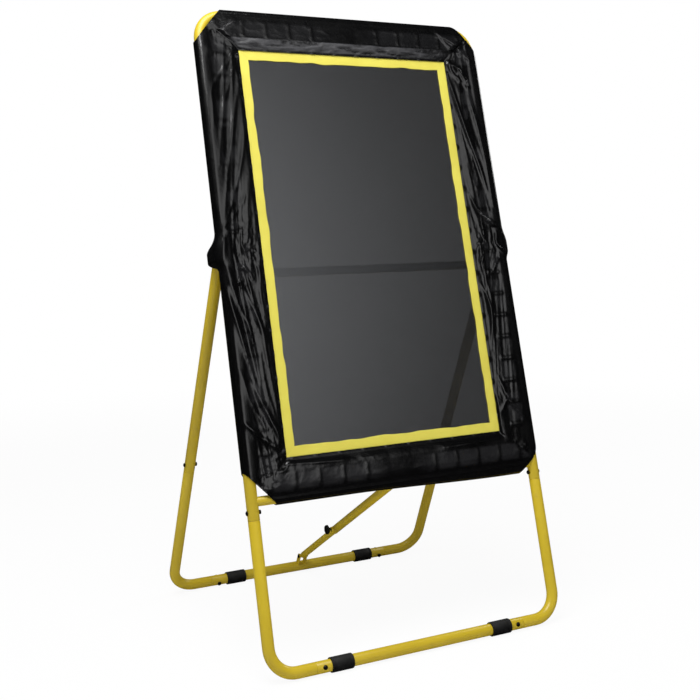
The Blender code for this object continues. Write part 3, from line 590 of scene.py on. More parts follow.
def path_curve(name, paths, cyclic=False):
    """A curve object with one straight-sided line for each path of points."""
    curve = bpy.data.curves.new(name, "CURVE")
    curve.dimensions = "3D"
    for path in paths:
        line = curve.splines.new("POLY")
        line.points.add(len(path) - 1)
        line.points.foreach_set("co", np.column_stack([path, np.ones(len(path))]).ravel())
        line.use_cyclic_u = cyclic
    return add_object(name, curve)


def round_edges(piece, width, angle=50.0):
    edge = piece.modifiers.new("rounded", "BEVEL")
    edge.width = width
    edge.segments = 2
    edge.limit_method = "ANGLE"
    edge.angle_limit = math.radians(angle)
    edge.use_clamp_overlap = True


# %% [markdown]
# The tubes meet in sockets: one end is reduced and slides into the next tube, so that only a
# fine ring shows. Each visible tube is a piece of its own with a small radius on its rim, and two
# rims together make that ring. The bends have a centre line radius of 85 mm.

# %% Tubes of the front frame
BEND_R = 0.085
MID_BAR_BEND_R = 0.06
RIM_R = 0.0016  # radius on a tube's rim
TUBE_SIDES = 48
LEG_SEAM = 0.465
UPPER_SEAM = 1.420
FRONT_RAIL_SEAM = 0.385
MID_BAR_STEP = [(SIDE_X, 0), (0.500, 0), (0.430, -0.025)]  # it steps back behind the mat


def tube_piece(name, body, points, radius=TUBE_R, bend=BEND_R):
    """A finished tube along a path of corner points, which stands for the solid of its name."""
    tube = path_curve(f"{name}_tube", [points])
    values = {"Radius": radius, "Bend radius": bend, "Bend steps": 14, "Sides": TUBE_SIDES, "Finish": YELLOW}
    add_tree(tube, TUBE_TREE, values)
    tube = settle(tube)
    round_edges(tube, RIM_R)
    return fit_out(settle(tube), body, "yellow_paint", name)


def tube_pieces(body, lines, place):
    """One tube for each line of corners. place() puts a corner into the world."""
    return [tube_piece(name, body, [place(*corner) for corner in line]) for name, line in lines.items()]


front = {"bottom_rail": [(-FRONT_RAIL_SEAM, 0), (FRONT_RAIL_SEAM, 0)]}
for side, label in SIDES:
    x = side * SIDE_X
    front[f"bottom_corner_{label}"] = [(x, LEG_SEAM), (x, 0), (side * FRONT_RAIL_SEAM, 0)]
    front[f"upper_corner_{label}"] = [(x, UPPER_SEAM), (x, FRAME_LENGTH), (0, FRAME_LENGTH)]
    front[f"side_tube_{label}"] = [(x, LEG_SEAM), (x, UPPER_SEAM)]
tubes = tube_pieces("front_frame", front, on_frame)
straight = [on_frame(-SIDE_X, CROSS_TUBE_UP), on_frame(SIDE_X, CROSS_TUBE_UP)]
tubes.append(tube_piece("lower_cross_tube", "front_frame", straight, BAR_R))
stepped = [(-x, forward) for x, forward in MID_BAR_STEP] + MID_BAR_STEP[::-1]
stepped = [on_frame(x, MID_BAR_UP, forward) for x, forward in stepped]
tubes.append(tube_piece("mid_bar", "front_frame", stepped, BAR_R, MID_BAR_BEND_R))
print("front frame:", len(tubes), "tubes")

# %% [markdown]
# The rear stand has the same bends. It turns on the two pivot bolts, so its legs run from those
# bolts to the rear rail. Its places are measured up along the legs.

# %% Tubes of the stand
PIVOT = middle("pivot_bolt_left")
REAR_RAIL = middle("rear_rail")
leg_line = Vector((0, PIVOT.y - REAR_RAIL.y, PIVOT.z - REAR_RAIL.z))
LEG_LENGTH = leg_line.length
leg_line.normalize()
LEG_PAST_PIVOT = 0.013
REAR_LEG_SEAM = 0.545
REAR_RAIL_SEAM = 0.375


def on_stand(across, up):
    """The world place of a point on the stand, measured up along its legs."""
    return Vector((across, REAR_RAIL.y, REAR_RAIL.z)) + leg_line * up


rear = {"rear_rail": [(-REAR_RAIL_SEAM, 0), (REAR_RAIL_SEAM, 0)]}
for side, label in SIDES:
    x = side * SIDE_X
    rear[f"rear_corner_{label}"] = [(x, REAR_LEG_SEAM), (x, 0), (side * REAR_RAIL_SEAM, 0)]
    rear[f"rear_leg_{label}"] = [(x, REAR_LEG_SEAM), (x, LEG_LENGTH + LEG_PAST_PIVOT)]
tubes += tube_pieces("rear_stand", rear, on_stand)
print("the rear legs are", round(LEG_LENGTH, 3), "m long")

# %% [markdown]
# The brace's outer and inner tube lie on one line, between its two bolts. The inner one slides
# into the outer one's bore, so the outer one has to be a true pipe. That is a turned shape: an
# outline of its wall, carried once round its axis.

# %% Tubes of the brace
SLIDER_R = 0.0125
WALL = 0.0018
BORE_RIM_R = 0.0005
OUTER_PAST_BOLT = 0.011
OUTER_LENGTH = 0.550
INNER_FROM_BOLT = 0.0135
INNER_LENGTH = 0.470


def circle(count):
    """The cosine and sine of evenly spaced directions, once round."""
    return [(math.cos(math.tau * i / count), math.sin(math.tau * i / count)) for i in range(count)]


def turned(start, directions, outline, count):
    """Points and faces of a shape turned from a closed outline of (along, radius)."""
    axis, first, second = directions
    points, faces = [], []
    for ring, (along, radius) in enumerate(outline):
        points += [start + axis * along + (first * x + second * y) * radius for x, y in circle(count)]
        near, far = ring * count, (ring + 1) % len(outline) * count
        for i in range(count):
            j = (i + 1) % count
            faces.append((near + i, near + j, far + j, far + i))
    return points, faces


brace_top = middle("brace_bolt_upper")
brace_foot = middle("brace_bolt_lower_head")
brace_top.x = brace_foot.x = 0
downwards = (brace_foot - brace_top).normalized()
aside = downwards.orthogonal().normalized()
wall_outline = [(0, BAR_R), (OUTER_LENGTH, BAR_R), (OUTER_LENGTH, BAR_R - WALL), (0, BAR_R - WALL)]
outer_start = brace_top - downwards * OUTER_PAST_BOLT
points, faces = turned(outer_start, (downwards, aside, downwards.cross(aside)), wall_outline, TUBE_SIDES)
outer = make_piece("brace_tube_tube", points, faces, YELLOW)
point_out(outer)
round_edges(outer, BORE_RIM_R)
tubes.append(fit_out(settle(outer), "brace_outer", "yellow_paint", "brace_tube"))
inner_start = brace_foot - downwards * INNER_FROM_BOLT
inner_end = inner_start - downwards * INNER_LENGTH
tubes.append(tube_piece("brace_slider", "brace_inner", [inner_start, inner_end], SLIDER_R))
print("all tubes:", len(tubes))

# %% [markdown]
# The sleeves keep the rails off the floor and stop them from sliding. A sleeve is a turned
# shape too, with two shallow grooves at each end and rounded rims. It is flattened underneath
# where it stands: points below the floor are lifted onto it, which keeps the sole exact.

# %% Rubber sleeves
SLEEVE_SIDES = 64
SLEEVE_HALF = 0.0380
SLEEVE_R = 0.0235
GROOVE_R = SLEEVE_R - 0.0005
sleeve_outline = [(SLEEVE_HALF, 0.0192), (SLEEVE_HALF, 0.0215), (0.0374, 0.0228), (0.0360, SLEEVE_R)]
for groove in (0.0330, 0.0280):
    sleeve_outline += [(groove, SLEEVE_R), (groove - 0.0006, GROOVE_R)]
    sleeve_outline += [(groove - 0.0014, GROOVE_R), (groove - 0.0020, SLEEVE_R)]
sleeve_outline += [(-along, radius) for along, radius in reversed(sleeve_outline)]


def sleeve(name, node, body, rail):
    start = Vector((middle(node).x, rail.y, rail.z))
    directions = Vector((1, 0, 0)), Vector((0, 1, 0)), Vector((0, 0, 1))
    points, faces = turned(start, directions, sleeve_outline, SLEEVE_SIDES)
    piece = make_piece(name, [(x, y, max(z, 0.0)) for x, y, z in points], faces, RUBBER, 50)
    point_out(piece)
    return fit_out(piece, body, "black_rubber", node)


for row, body, rail in (("front", "front_frame", FRONT_RAIL), ("rear", "rear_stand", REAR_RAIL)):
    for _, label in SIDES:
        sleeve(f"{row}_sleeve_{label}", f"{row}_foot_sleeve_{label}", body, rail)
print("sleeves: 4, each", 2 * SLEEVE_HALF * 1000, "mm long")

# %% [markdown]
# The mat is one flat cloth. The springs pull its edge at 56 places, so between two springs the
# edge gives way a little. The mat's plan holds these places, and a function that puts any point
# of it into the world with that small wave along the rim.

# %% The mat's plan
HALF_MAT = 0.4025
MAT_BOTTOM = 0.6465
MAT_TOP = 1.9975
MAT_FORWARD = 0.010
SIDE_SPRINGS = 18
END_SPRINGS = 10
LAST_SPRING_IN = 0.0165
RIM_SAG = 0.0022  # how far the edge gives way between two springs
side_places = np.linspace(MAT_BOTTOM + LAST_SPRING_IN, MAT_TOP - LAST_SPRING_IN, SIDE_SPRINGS)
end_places = np.linspace(-HALF_MAT + LAST_SPRING_IN, HALF_MAT - LAST_SPRING_IN, END_SPRINGS)
side_gap = side_places[1] - side_places[0]
end_gap = end_places[1] - end_places[0]


def on_mat(places, forward):
    """World places on the mat's plane, with the rim drawn in between the springs."""
    x, u = places.T
    mid, half = (MAT_TOP + MAT_BOTTOM) / 2, (MAT_TOP - MAT_BOTTOM) / 2
    near_side = np.clip(np.abs(x) / HALF_MAT, 0, 1) ** 12
    near_end = np.clip(np.abs(u - mid) / half, 0, 1) ** 20
    x = x - np.sign(x) * RIM_SAG * np.sin(np.pi * (u - side_places[0]) / side_gap) ** 2 * near_side
    u = u - np.sign(u - mid) * RIM_SAG * np.sin(np.pi * (x - end_places[0]) / end_gap) ** 2 * near_end
    return all_on_frame(x, u, forward)


def grid_faces(rows, columns):
    """The faces of a grid whose points are listed row by row."""
    corners = np.arange(rows * columns).reshape(rows, columns)
    sides = corners[:-1, :-1], corners[:-1, 1:], corners[1:, 1:], corners[1:, :-1]
    return np.stack(sides, -1).reshape(-1, 4).tolist()


def add_uv(piece, places):
    """A UV map in metres from one (across, along) place for each point."""
    layer = piece.data.uv_layers.new(name="cloth")
    corners = np.zeros(len(piece.data.loops), int)
    piece.data.loops.foreach_get("vertex_index", corners)
    layer.data.foreach_set("uv", places[corners].ravel())


def thicken(piece, thickness):
    """A wall behind the surface."""
    wall = piece.modifiers.new("thickness", "SOLIDIFY")
    wall.thickness = thickness
    wall.offset = -1
    wall.use_even_offset = True


# %% [markdown]
# The cloth itself is a plain grid of points on that plan, and a Solidify modifier gives it its
# thickness. A simulated cloth would end up just as flat, because the springs keep it stretched.

# %% The mat
CLOTH = 0.0016
UNDER_WEBBING = 0.0054  # the cloth runs on past the mat's edge, under the webbing
CLOTH_X = HALF_MAT + UNDER_WEBBING
CLOTH_LOW = MAT_BOTTOM - UNDER_WEBBING
CLOTH_TOP = MAT_TOP + UNDER_WEBBING
columns, rows = 97, 163
across, up = np.meshgrid(np.linspace(-CLOTH_X, CLOTH_X, columns), np.linspace(CLOTH_LOW, CLOTH_TOP, rows))
places = np.column_stack([across.ravel(), up.ravel()])
mat = make_piece("mat_cloth", on_mat(places, MAT_FORWARD + CLOTH / 2), grid_faces(rows, columns), MAT_CLOTH)
add_uv(mat, places)
thicken(mat, CLOTH)
mat = settle(mat)
print("mat:", round(2 * CLOTH_X, 4), "by", round(CLOTH_TOP - CLOTH_LOW, 4), "m")

# %% [markdown]
# Yellow webbing is sewn flat onto the mat's rim, in four straps with mitred corners. Their
# inner edges wander by about two millimetres, because a strap is never sewn dead straight.

# %% The yellow border
WEBBING_WIDTH = 0.0355
WEBBING_OUT = 0.0055  # past the mat's own edge
WEBBING_THICKNESS = 0.0015
WEBBING_FORWARD = MAT_FORWARD + 0.0026
WANDER = 0.0020
rng = np.random.default_rng(7)


def rim_corners(inset):
    """The corners of the border's outline, moved inwards."""
    out = WEBBING_OUT - inset
    x, low, high = HALF_MAT + out, MAT_BOTTOM - out, MAT_TOP + out
    return np.array([(-x, low), (x, low), (x, high), (-x, high)])


def smooth_wander(count, spacing, amount):
    """A slow random wave along a strap."""
    knots = rng.normal(0, 1, count // spacing + 4)
    places = np.linspace(0, len(knots) - 3.001, count)
    low = places.astype(int)
    part = places - low
    part = part * part * (3 - 2 * part)
    return amount * (knots[low] * (1 - part) + knots[low + 1] * part)


def border_strap(start, end, inwards):
    """Points, faces and UV places of one mitred strap, from one outer corner to the next."""
    length = np.linalg.norm(end - start)
    run = (end - start) / length
    count, wide = max(60, int(length / 0.006)), 9
    wander = smooth_wander(count, 9, WANDER)[:, None]
    part = np.linspace(0, 1, count)[:, None]
    strip = np.linspace(0, 1, wide)[None, :]
    inset = WEBBING_WIDTH * strip
    along = inset + (length - 2 * inset) * part
    inset = inset + wander * np.clip(6 * np.minimum(part, 1 - part), 0, 1) * strip**2
    points = start + run * along[..., None] + inwards * inset[..., None]
    places = np.stack([inset, along], -1)
    return points.reshape(-1, 2), grid_faces(count, wide), places.reshape(-1, 2)


corners = rim_corners(0)
points, faces, places = [], [], []
for i, inwards in enumerate(np.array([(0, 1), (-1, 0), (0, -1), (1, 0)])):
    strap_points, strap_faces, strap_places = border_strap(corners[i], corners[(i + 1) % 4], inwards)
    faces += [[index + len(points) for index in face] for face in strap_faces]
    points += strap_points.tolist()
    places += strap_places.tolist()
border = make_piece("mat_border", on_mat(np.array(points), WEBBING_FORWARD), faces, WEBBING)
add_uv(border, np.array(places))
thicken(border, WEBBING_THICKNESS)
round_edges(border, 0.0004, 60)
border = settle(border)
print("border:", WEBBING_WIDTH * 1000, "mm webbing,", len(border.data.polygons), "faces")

# %% [markdown]
# Stitches repeat hundreds of times along a line, which is again work for Geometry Nodes. The
# tree resamples a path by the stitch pitch and sets one small thread on each point, turned along
# the path. A fixed seed varies their tilt a little, as a sewing machine does.


# %% A tree that sews
def stitch_tree():
    inputs = {"Pitch": "Float", "Stitch length": "Float", "Thread radius": "Float", "Seed": "Int"}
    tree, given, last = new_tree("stitches_along_path", inputs)
    inputs = {"Curve": given["Geometry"], "Length": given["Pitch"]}
    spots = make_node(tree, "GeometryNodeResampleCurve", {"mode": "LENGTH"}, inputs)
    inputs = {"Vertices": 6, "Radius": given["Thread radius"], "Depth": given["Stitch length"]}
    thread = make_node(tree, "GeometryNodeMeshCylinder", {"fill_type": "NGON"}, inputs)
    inputs = {"Vector": make_node(tree, "GeometryNodeInputTangent").outputs[0]}
    turned = make_node(tree, "FunctionNodeAlignRotationToVector", {"axis": "Z"}, inputs)
    inputs = {"Min": (-0.08, -0.08, 0.0), "Max": (0.08, 0.08, 0.0), "Seed": given["Seed"]}
    tilt = make_node(tree, "FunctionNodeRandomValue", {"data_type": "FLOAT_VECTOR"}, inputs)
    inputs = {"Rotation": turned.outputs[0], "Rotate By": tilt.outputs[0]}
    tilted = make_node(tree, "FunctionNodeRotateRotation", {"rotation_space": "LOCAL"}, inputs)
    inputs = {"Points": spots.outputs[0], "Instance": thread.outputs["Mesh"], "Rotation": tilted.outputs[0]}
    sewn = make_node(tree, "GeometryNodeInstanceOnPoints", None, inputs)
    return close_tree(tree, last, given, sewn.outputs[0])


STITCH_TREE = stitch_tree()


def sew(name, paths, material, pitch=0.0065, length=0.0045, thread=0.0005, seed=3):
    """One mesh of stitches along several paths of world points."""
    seam = path_curve(name, paths)
    values = {"Pitch": pitch, "Stitch length": length, "Thread radius": thread, "Seed": seed}
    add_tree(seam, STITCH_TREE, {**values, "Finish": material})
    return settle(seam, 60)


SEAM_IN = 0.004  # both rows of stitches run this far from an edge of the webbing
border_seams = []
for inset in (SEAM_IN, WEBBING_WIDTH - SEAM_IN):
    corners = rim_corners(inset)
    for start, end in zip(corners, np.roll(corners, -1, axis=0)):
        border_seams.append(on_mat(start + (end - start) * np.linspace(0, 1, 160)[:, None], WEBBING_FORWARD))
border_stitches = sew("mat_border_stitches", border_seams, WEBBING)
print("stitches on the border:", len(border_stitches.data.polygons) // 8)

fit_out(mat, "front_frame", "woven_mat", "mat")
fit_out(border, "front_frame", "yellow_webbing", "mat_webbing")
fit_out(border_stitches, "front_frame", "yellow_webbing")

# %% [markdown]
# A spring hooks into a loop on the mat and into a hole in the tube. Its line is worked out once,
# in its own terms: outwards from the mat, forwards and sideways. The tube tree turns the line
# into wire, and a second tree sets out a whole row of copies at the springs' spacing.


# %% A tree that sets out rows
def row_tree():
    tree, given, last = new_tree("copies_in_a_row", {"Count": "Int", "Step": "Vector"})
    inputs = {"Count": given["Count"], "Offset": given["Step"]}
    spots = make_node(tree, "GeometryNodeMeshLine", {"mode": "OFFSET"}, inputs)
    inputs = {"Points": spots.outputs[0], "Instance": given["Geometry"]}
    copies = make_node(tree, "GeometryNodeInstanceOnPoints", None, inputs)
    return close_tree(tree, last, given, copies.outputs[0])


ROW_TREE = row_tree()


def set_out(piece, pace, count, finish, sharp=60):
    """A settled row of copies, a pace apart."""
    add_tree(piece, ROW_TREE, {"Count": count, "Step": pace, "Finish": finish})
    return settle(piece, sharp)


def wire(name, points, radius, sides, cyclic=False):
    """Zinc plated wire along a path."""
    path = path_curve(name, [points], cyclic)
    values = {"Radius": radius, "Bend radius": 0.0, "Bend steps": 1, "Sides": sides, "Finish": ZINC}
    add_tree(path, TUBE_TREE, values)
    return path


# %% Springs
WIRE_R = 0.0015
COIL_R = 0.0068
COIL_START = 0.35  # the coil's first radius, as a part of its full one
SPRING_FORWARD = 0.0071  # the springs' axis
TIP_FORWARD = MAT_FORWARD + 0.0030  # the tip of the hook on the mat
EYE_OUT = 0.010  # from the mat's edge to the eye
FIRST_TURN = 0.016  # from the eye
LAST_TURN = 0.011  # short of the tube's skin
HOOK_STRAIGHT = 0.005  # short of the tube's skin
HOOK_IN = 0.007  # from the tube's skin to the hook's bend
TURNS = 19
TURN_POINTS = 12
TAPER = 5  # points over which the coil grows to its full radius


def spring_line(reach, tube_r):
    """Points (outwards, forwards, sideways) of one spring, from the mat's eye into the tube."""
    skin = reach - math.sqrt(tube_r**2 - SPRING_FORWARD**2)
    inside, bend = skin + HOOK_IN, WIRE_R * 2
    mat_hook = [(0, TIP_FORWARD - SPRING_FORWARD), (0, bend * 0.8), (bend * 0.3, bend * 0.25)]
    mat_hook += [(bend, 0), (FIRST_TURN * 0.7, 0)]
    tube_hook = [(skin - HOOK_STRAIGHT, 0), (inside, 0)]
    tube_hook += [(inside + bend * 0.7, -bend * 0.3), (inside + bend, -bend * 1.6)]
    pace = (skin - LAST_TURN - FIRST_TURN) / (TURNS * TURN_POINTS)
    coil = []
    for i in range(TURNS * TURN_POINTS + 1):
        angle = math.tau * i / TURN_POINTS
        grown = min(1.0, i / TAPER, (TURNS * TURN_POINTS - i) / TAPER)
        radius = COIL_R * (COIL_START + (1 - COIL_START) * grown)
        coil.append((FIRST_TURN + pace * i, radius * math.sin(angle), radius * math.cos(angle)))
    line = [(*point, 0) for point in mat_hook] + coil + [(*point, 0) for point in tube_hook]
    return [(out, SPRING_FORWARD + rise, aside) for out, rise, aside in line]


def by_eye(eye, outwards, out, forward, aside):
    """The world place of a point that is given outwards, forwards and sideways from an eye."""
    across = eye[0] + outwards[0] * out - outwards[1] * aside
    return on_frame(across, eye[1] + outwards[1] * out + outwards[0] * aside, forward)


EDGES = {  # outwards, and then measured outwards: the mat's edge, the tube's centre and its radius
    "left": ((-1, 0), HALF_MAT, SIDE_X, TUBE_R),
    "right": ((1, 0), HALF_MAT, SIDE_X, TUBE_R),
    "top": ((0, 1), MAT_TOP, FRAME_LENGTH, TUBE_R),
    "bottom": ((0, -1), -MAT_BOTTOM, -CROSS_TUBE_UP, BAR_R),
}


def eyes(edge):
    """The place of an edge's first eye, and the pace and number of all its eyes."""
    (over, up), rim, _, _ = EDGES[edge]
    if over:
        return (over * (rim + EYE_OUT), side_places[0]), FRAME_UP * side_gap, SIDE_SPRINGS
    return (end_places[0], up * (rim + EYE_OUT)), Vector((end_gap, 0, 0)), END_SPRINGS


for edge, (outwards, rim, tube, tube_r) in EDGES.items():
    eye, pace, count = eyes(edge)
    line = [by_eye(eye, outwards, *point) for point in spring_line(tube - rim - EYE_OUT, tube_r)]
    row = set_out(wire(f"springs_{edge}", line, WIRE_R, 6), pace, count, ZINC)
    solids = [name for name in frame["nodes"] if name.startswith(f"spring_{edge}_")]
    fit_out(row, "front_frame", "zinc_steel", *solids)
    print(row.name, count, "springs,", len(row.data.polygons), "faces")

# %% [markdown]
# Each hook goes through a loop of black webbing that is sewn to the mat's edge, with a steel
# eyelet. One loop is a small flat strap with a hole, and the row tree repeats it.

# %% Loops and eyelets
LOOP_WIDTH = 0.022
LOOP_REACH = 0.019  # past the mat's edge
LOOP_ON_MAT = 0.026  # and back from it, under the webbing
LOOP_CORNER = 0.006  # radius
LOOP_HOLE_R = 0.0035
LOOP_FACES = (MAT_FORWARD - 0.0010, MAT_FORWARD - 0.0034)
EYELET_R = 0.0052
EYELET_WIRE_R = 0.0011
EYELET_FORWARD = MAT_FORWARD - 0.0035


def loop_outline():
    """A strap's outline (outwards, sideways) from its eye, with its outer corners rounded."""
    half = LOOP_WIDTH / 2
    outline = [(-LOOP_ON_MAT, -half), (LOOP_REACH - LOOP_CORNER, -half)]
    for i in range(1, 6):
        angle = math.radians(-90 + 15 * i)
        out = LOOP_REACH - LOOP_CORNER + LOOP_CORNER * math.cos(angle)
        outline.append((out, -half + LOOP_CORNER + LOOP_CORNER * math.sin(angle)))
    outline += [(out, -aside) for out, aside in reversed(outline)]
    return [(out - EYE_OUT, aside) for out, aside in outline]


def loop_row(name, eye, outwards, pace, count):
    outline = loop_outline()
    hole = [(LOOP_HOLE_R * x, LOOP_HOLE_R * y) for x, y in circle(16)]
    bm = bmesh.new()
    for forward in LOOP_FACES:
        edges = []
        for rim in (outline, hole):
            verts = [bm.verts.new(by_eye(eye, outwards, out, forward, aside)) for out, aside in rim]
            edges += [bm.edges.new(pair) for pair in zip(verts, verts[1:] + verts[:1])]
        bmesh.ops.triangle_fill(bm, edges=edges, use_beauty=True)
    verts = list(bm.verts)
    half = len(verts) // 2
    for start, size in ((0, len(outline)), (len(outline), len(hole))):
        for i in range(size):
            a, b = start + i, start + (i + 1) % size
            bm.faces.new((verts[a], verts[b], verts[half + b], verts[half + a]))
    bmesh.ops.recalc_face_normals(bm, faces=bm.faces)
    mesh = bpy.data.meshes.new(name)
    bm.to_mesh(mesh)
    bm.free()
    return fit_out(set_out(add_object(name, mesh), pace, count, RUBBER, 40), "front_frame", "woven_mat")


def eyelet_row(name, eye, pace, count):
    ring = [on_frame(eye[0] + EYELET_R * x, eye[1] + EYELET_R * y, EYELET_FORWARD) for x, y in circle(20)]
    row = set_out(wire(name, ring, EYELET_WIRE_R, 8, cyclic=True), pace, count, ZINC)
    return fit_out(row, "front_frame", "zinc_steel")


for edge in EDGES:
    eye, pace, count = eyes(edge)
    loop_row(f"mat_loops_{edge}", eye, EDGES[edge][0], pace, count)
    eyelet_row(f"mat_eyelets_{edge}", eye, pace, count)
print("loops:", 2 * SIDE_SPRINGS + 2 * END_SPRINGS)

# %% [markdown]
# The cover is thin glossy vinyl in four panels that are mitred at the corners. It lies on the
# springs, wraps round the tubes and has a pouch over each pivot. All its detail is relief on
# one unrolled plan: across from the inner edge, and along the panel. So the whole shape can be
# written as heights over that plan, with numpy, and every panel reads the same heights, so the
# mitres match.

# %% The cover's plan
SKIN = 0.0016  # vinyl
EDGE_OUT = 0.0020  # the inner hem ends on the webbing's rim
EDGE_FORWARD = 0.0146
SLOPE_FORWARD = 0.0222  # where the slope from the hem levels out
LEVEL_AT = 0.36  # on the way from the hem to the tube, as a part of it
TURN_AT = 0.3
OVER_TUBE = 0.0040
PAST_TUBE = 0.0036
WRAP_BACK = math.radians(65)
WRAP_BACK_LOW = math.radians(40)
POUCH_OUT = 0.0128
POUCH_BACK = 0.060
POUCH_UP = 1.31  # the pouch's middle
edge_x = HALF_MAT + EDGE_OUT
edge_top = MAT_TOP + EDGE_OUT
edge_low = MAT_BOTTOM - EDGE_OUT
out_x = SIDE_X + TUBE_R + PAST_TUBE
out_top = FRAME_LENGTH + TUBE_R + PAST_TUBE
out_low = CROSS_TUBE_UP - BAR_R - PAST_TUBE
CORNER_CUTS = {  # by up and side: how far the cut reaches in and down, and how much it bulges
    (1, -1): (0.102, 0.120, 0.002),
    (1, 1): (0.102, 0.120, 0.009),
    (-1, -1): (0.102, 0.109, 0.0),
    (-1, 1): (0.084, 0.109, 0.023),
}


def ease(value, low, high):
    """0 below low, 1 above high and smooth between."""
    part = np.clip((value - low) / (high - low), 0, 1)
    return part * part * (3 - 2 * part)


def band(value, rise_from, rise_to, fall_from, fall_to):
    """Rises from 0 to 1, stays there and falls back to 0."""
    return ease(value, rise_from, rise_to) * (1 - ease(value, fall_from, fall_to))


def corner_cut(up_sign, side):
    """The cut across a corner, as points (across, up) from the end panel to the side panel."""
    inset, down, bulge = CORNER_CUTS[up_sign, side]
    out_up = out_top if up_sign > 0 else out_low
    start = np.array([out_x - inset, out_up])
    end = np.array([out_x, out_up - up_sign * down])
    outwards = np.array([down, inset * up_sign]) / math.hypot(down, inset)
    control = (start + end) / 2 + outwards * bulge * 2
    part = np.linspace(0, 1, 41)[:, None]
    return start * (1 - part) ** 2 + control * 2 * part * (1 - part) + end * part**2


# columns of every panel's grid: from the inner edge to the tube, round it and behind it
COLUMNS = np.concatenate([np.linspace(0, 1, 37), np.linspace(1, 2, 11)[1:], np.linspace(2, 3, 9)[1:]])


def limit(place, kind, up_sign, side):
    """How far each column of a panel runs: to the mitre, or to the cut across the corner."""
    cut = corner_cut(up_sign, side)
    centre = cut[len(cut) // 2]
    edge = (edge_x, edge_top if up_sign > 0 else edge_low)
    by, to, outwards = (0, 1, 1) if kind == "side" else (1, 0, up_sign)
    mitre = edge[to] + (place - edge[by]) / (centre[by] - edge[by]) * (centre[to] - edge[to])
    order = cut[np.argsort(cut[:, by])]
    beyond = ((place - centre[by]) * outwards > 0) | (COLUMNS > 2)
    return np.where(beyond, np.interp(place, order[:, by], order[:, to]), mitre)


def section(q, tube_r, edge, wrap, swell=0.0, level_at=LEVEL_AT, turn_at=TURN_AT, top=SLOPE_FORWARD):
    """A panel's section (outwards, forwards) about its tube, with its outward direction.

    q runs from 0 at the inner edge to 1 over the tube, 2 beside it and 3 behind it. The slope
    from the hem is level at level_at and falls or rises to the tube from turn_at on.
    """
    radius = tube_r + OVER_TUBE
    slope = np.clip(q, 0, 1)
    back = np.clip(q - 2, 0, 1)
    angle = math.pi / 2 * (1 - np.clip(q - 1, 0, 1)) - wrap * back
    rise = EDGE_FORWARD + (top - EDGE_FORWARD) * ease(slope, -level_at / 3, level_at)
    rise += (radius - top) * ease(slope, turn_at, 1.0)
    plain_out = np.where(q < 1, -edge * (1 - slope), radius * np.cos(angle))
    plain_forward = np.where(q < 1, rise, radius * np.sin(angle))
    wide_out = np.where(q < 1, plain_out, (radius + POUCH_OUT) * np.where(q < 2, np.cos(angle), 1))
    wide_forward = np.where(q < 2, plain_forward, -back * POUCH_BACK)
    out = plain_out + (wide_out - plain_out) * swell
    forward = plain_forward + (wide_forward - plain_forward) * swell
    turn = angle * (1 - swell * (q > 2))
    return out, forward, np.where(q < 1, 0, np.cos(turn)), np.where(q < 1, 1, np.sin(turn))


print("corner cut:", np.round(corner_cut(1, -1)[[0, 20, 40]], 3).tolist())

# %% [markdown]
# Small folds come from ridged noise: smooth random values, turned into thin crests with soft
# hollows between. The noise is stretched to the size and direction that the folds should have.


# %% Noise that folds
def noise_field(x, y, seed):
    """Smooth noise from 0 to 1 over a plane, on a wrapped grid of random values."""
    table = np.random.default_rng(seed).random((64, 64))
    low_x, low_y = np.floor(x).astype(int), np.floor(y).astype(int)
    part_x, part_y = x - low_x, y - low_y
    part_x = part_x**3 * (part_x * (part_x * 6 - 15) + 10)
    part_y = part_y**3 * (part_y * (part_y * 6 - 15) + 10)

    def at(i, j):
        return table[(low_x + i) % 64, (low_y + j) % 64]

    low = at(0, 0) * (1 - part_x) + at(1, 0) * part_x
    high = at(0, 1) * (1 - part_x) + at(1, 1) * part_x
    return low * (1 - part_y) + high * part_y


def crumple(x, y, size_x, size_y, seed, octaves=3, edge=2.5):
    """Ridged noise: thin crests with soft hollows between, as in thin vinyl."""
    total, weight = np.zeros_like(x), 1.0
    for octave in range(octaves):
        bend_x = noise_field(x / size_x * 0.7, y / size_y * 0.7, seed + 20 + octave) * 0.9
        bend_y = noise_field(x / size_x * 0.7 + 9, y / size_y * 0.7 + 9, seed + 40 + octave) * 0.9
        value = noise_field(x / size_x + bend_x, y / size_y + bend_y, seed + octave)
        total += weight * np.maximum(0, 1 - np.sqrt((2 * value - 1) ** 2 + 0.006)) ** edge
        size_x, size_y, weight = size_x / 2.1, size_y / 2.1, weight * 0.45
    return total / 1.6


def corner_crumple(x, u):
    """The crumpling near a mitre, which both of its panels share."""
    return crumple(x, u, 0.030, 0.024, 71, 2, 1.8) - 0.35


# %% [markdown]
# The long folds follow how the cover hangs: they fan out from the inner corners and gather at
# the pouches. Each is a smooth line through a few knots, with a rounded crest that fades at
# both ends. So a fold is a row in a table: its knots, its half width and its height.


# %% Long folds
def smooth_path(knots, count=20):
    """A curve through the knots."""
    knots = np.array(knots, float)
    padded = np.vstack([2 * knots[0] - knots[1], knots, 2 * knots[-1] - knots[-2]])
    places = np.linspace(0, len(knots) - 1 - 1e-6, count)
    i = places.astype(int)
    t = (places - i)[:, None]
    a, b, c, d = (padded[i + k] for k in range(4))
    return 0.5 * (2 * b + (c - a) * t + (2 * a - 5 * b + 4 * c - d) * t**2 + (3 * b - a - 3 * c + d) * t**3)


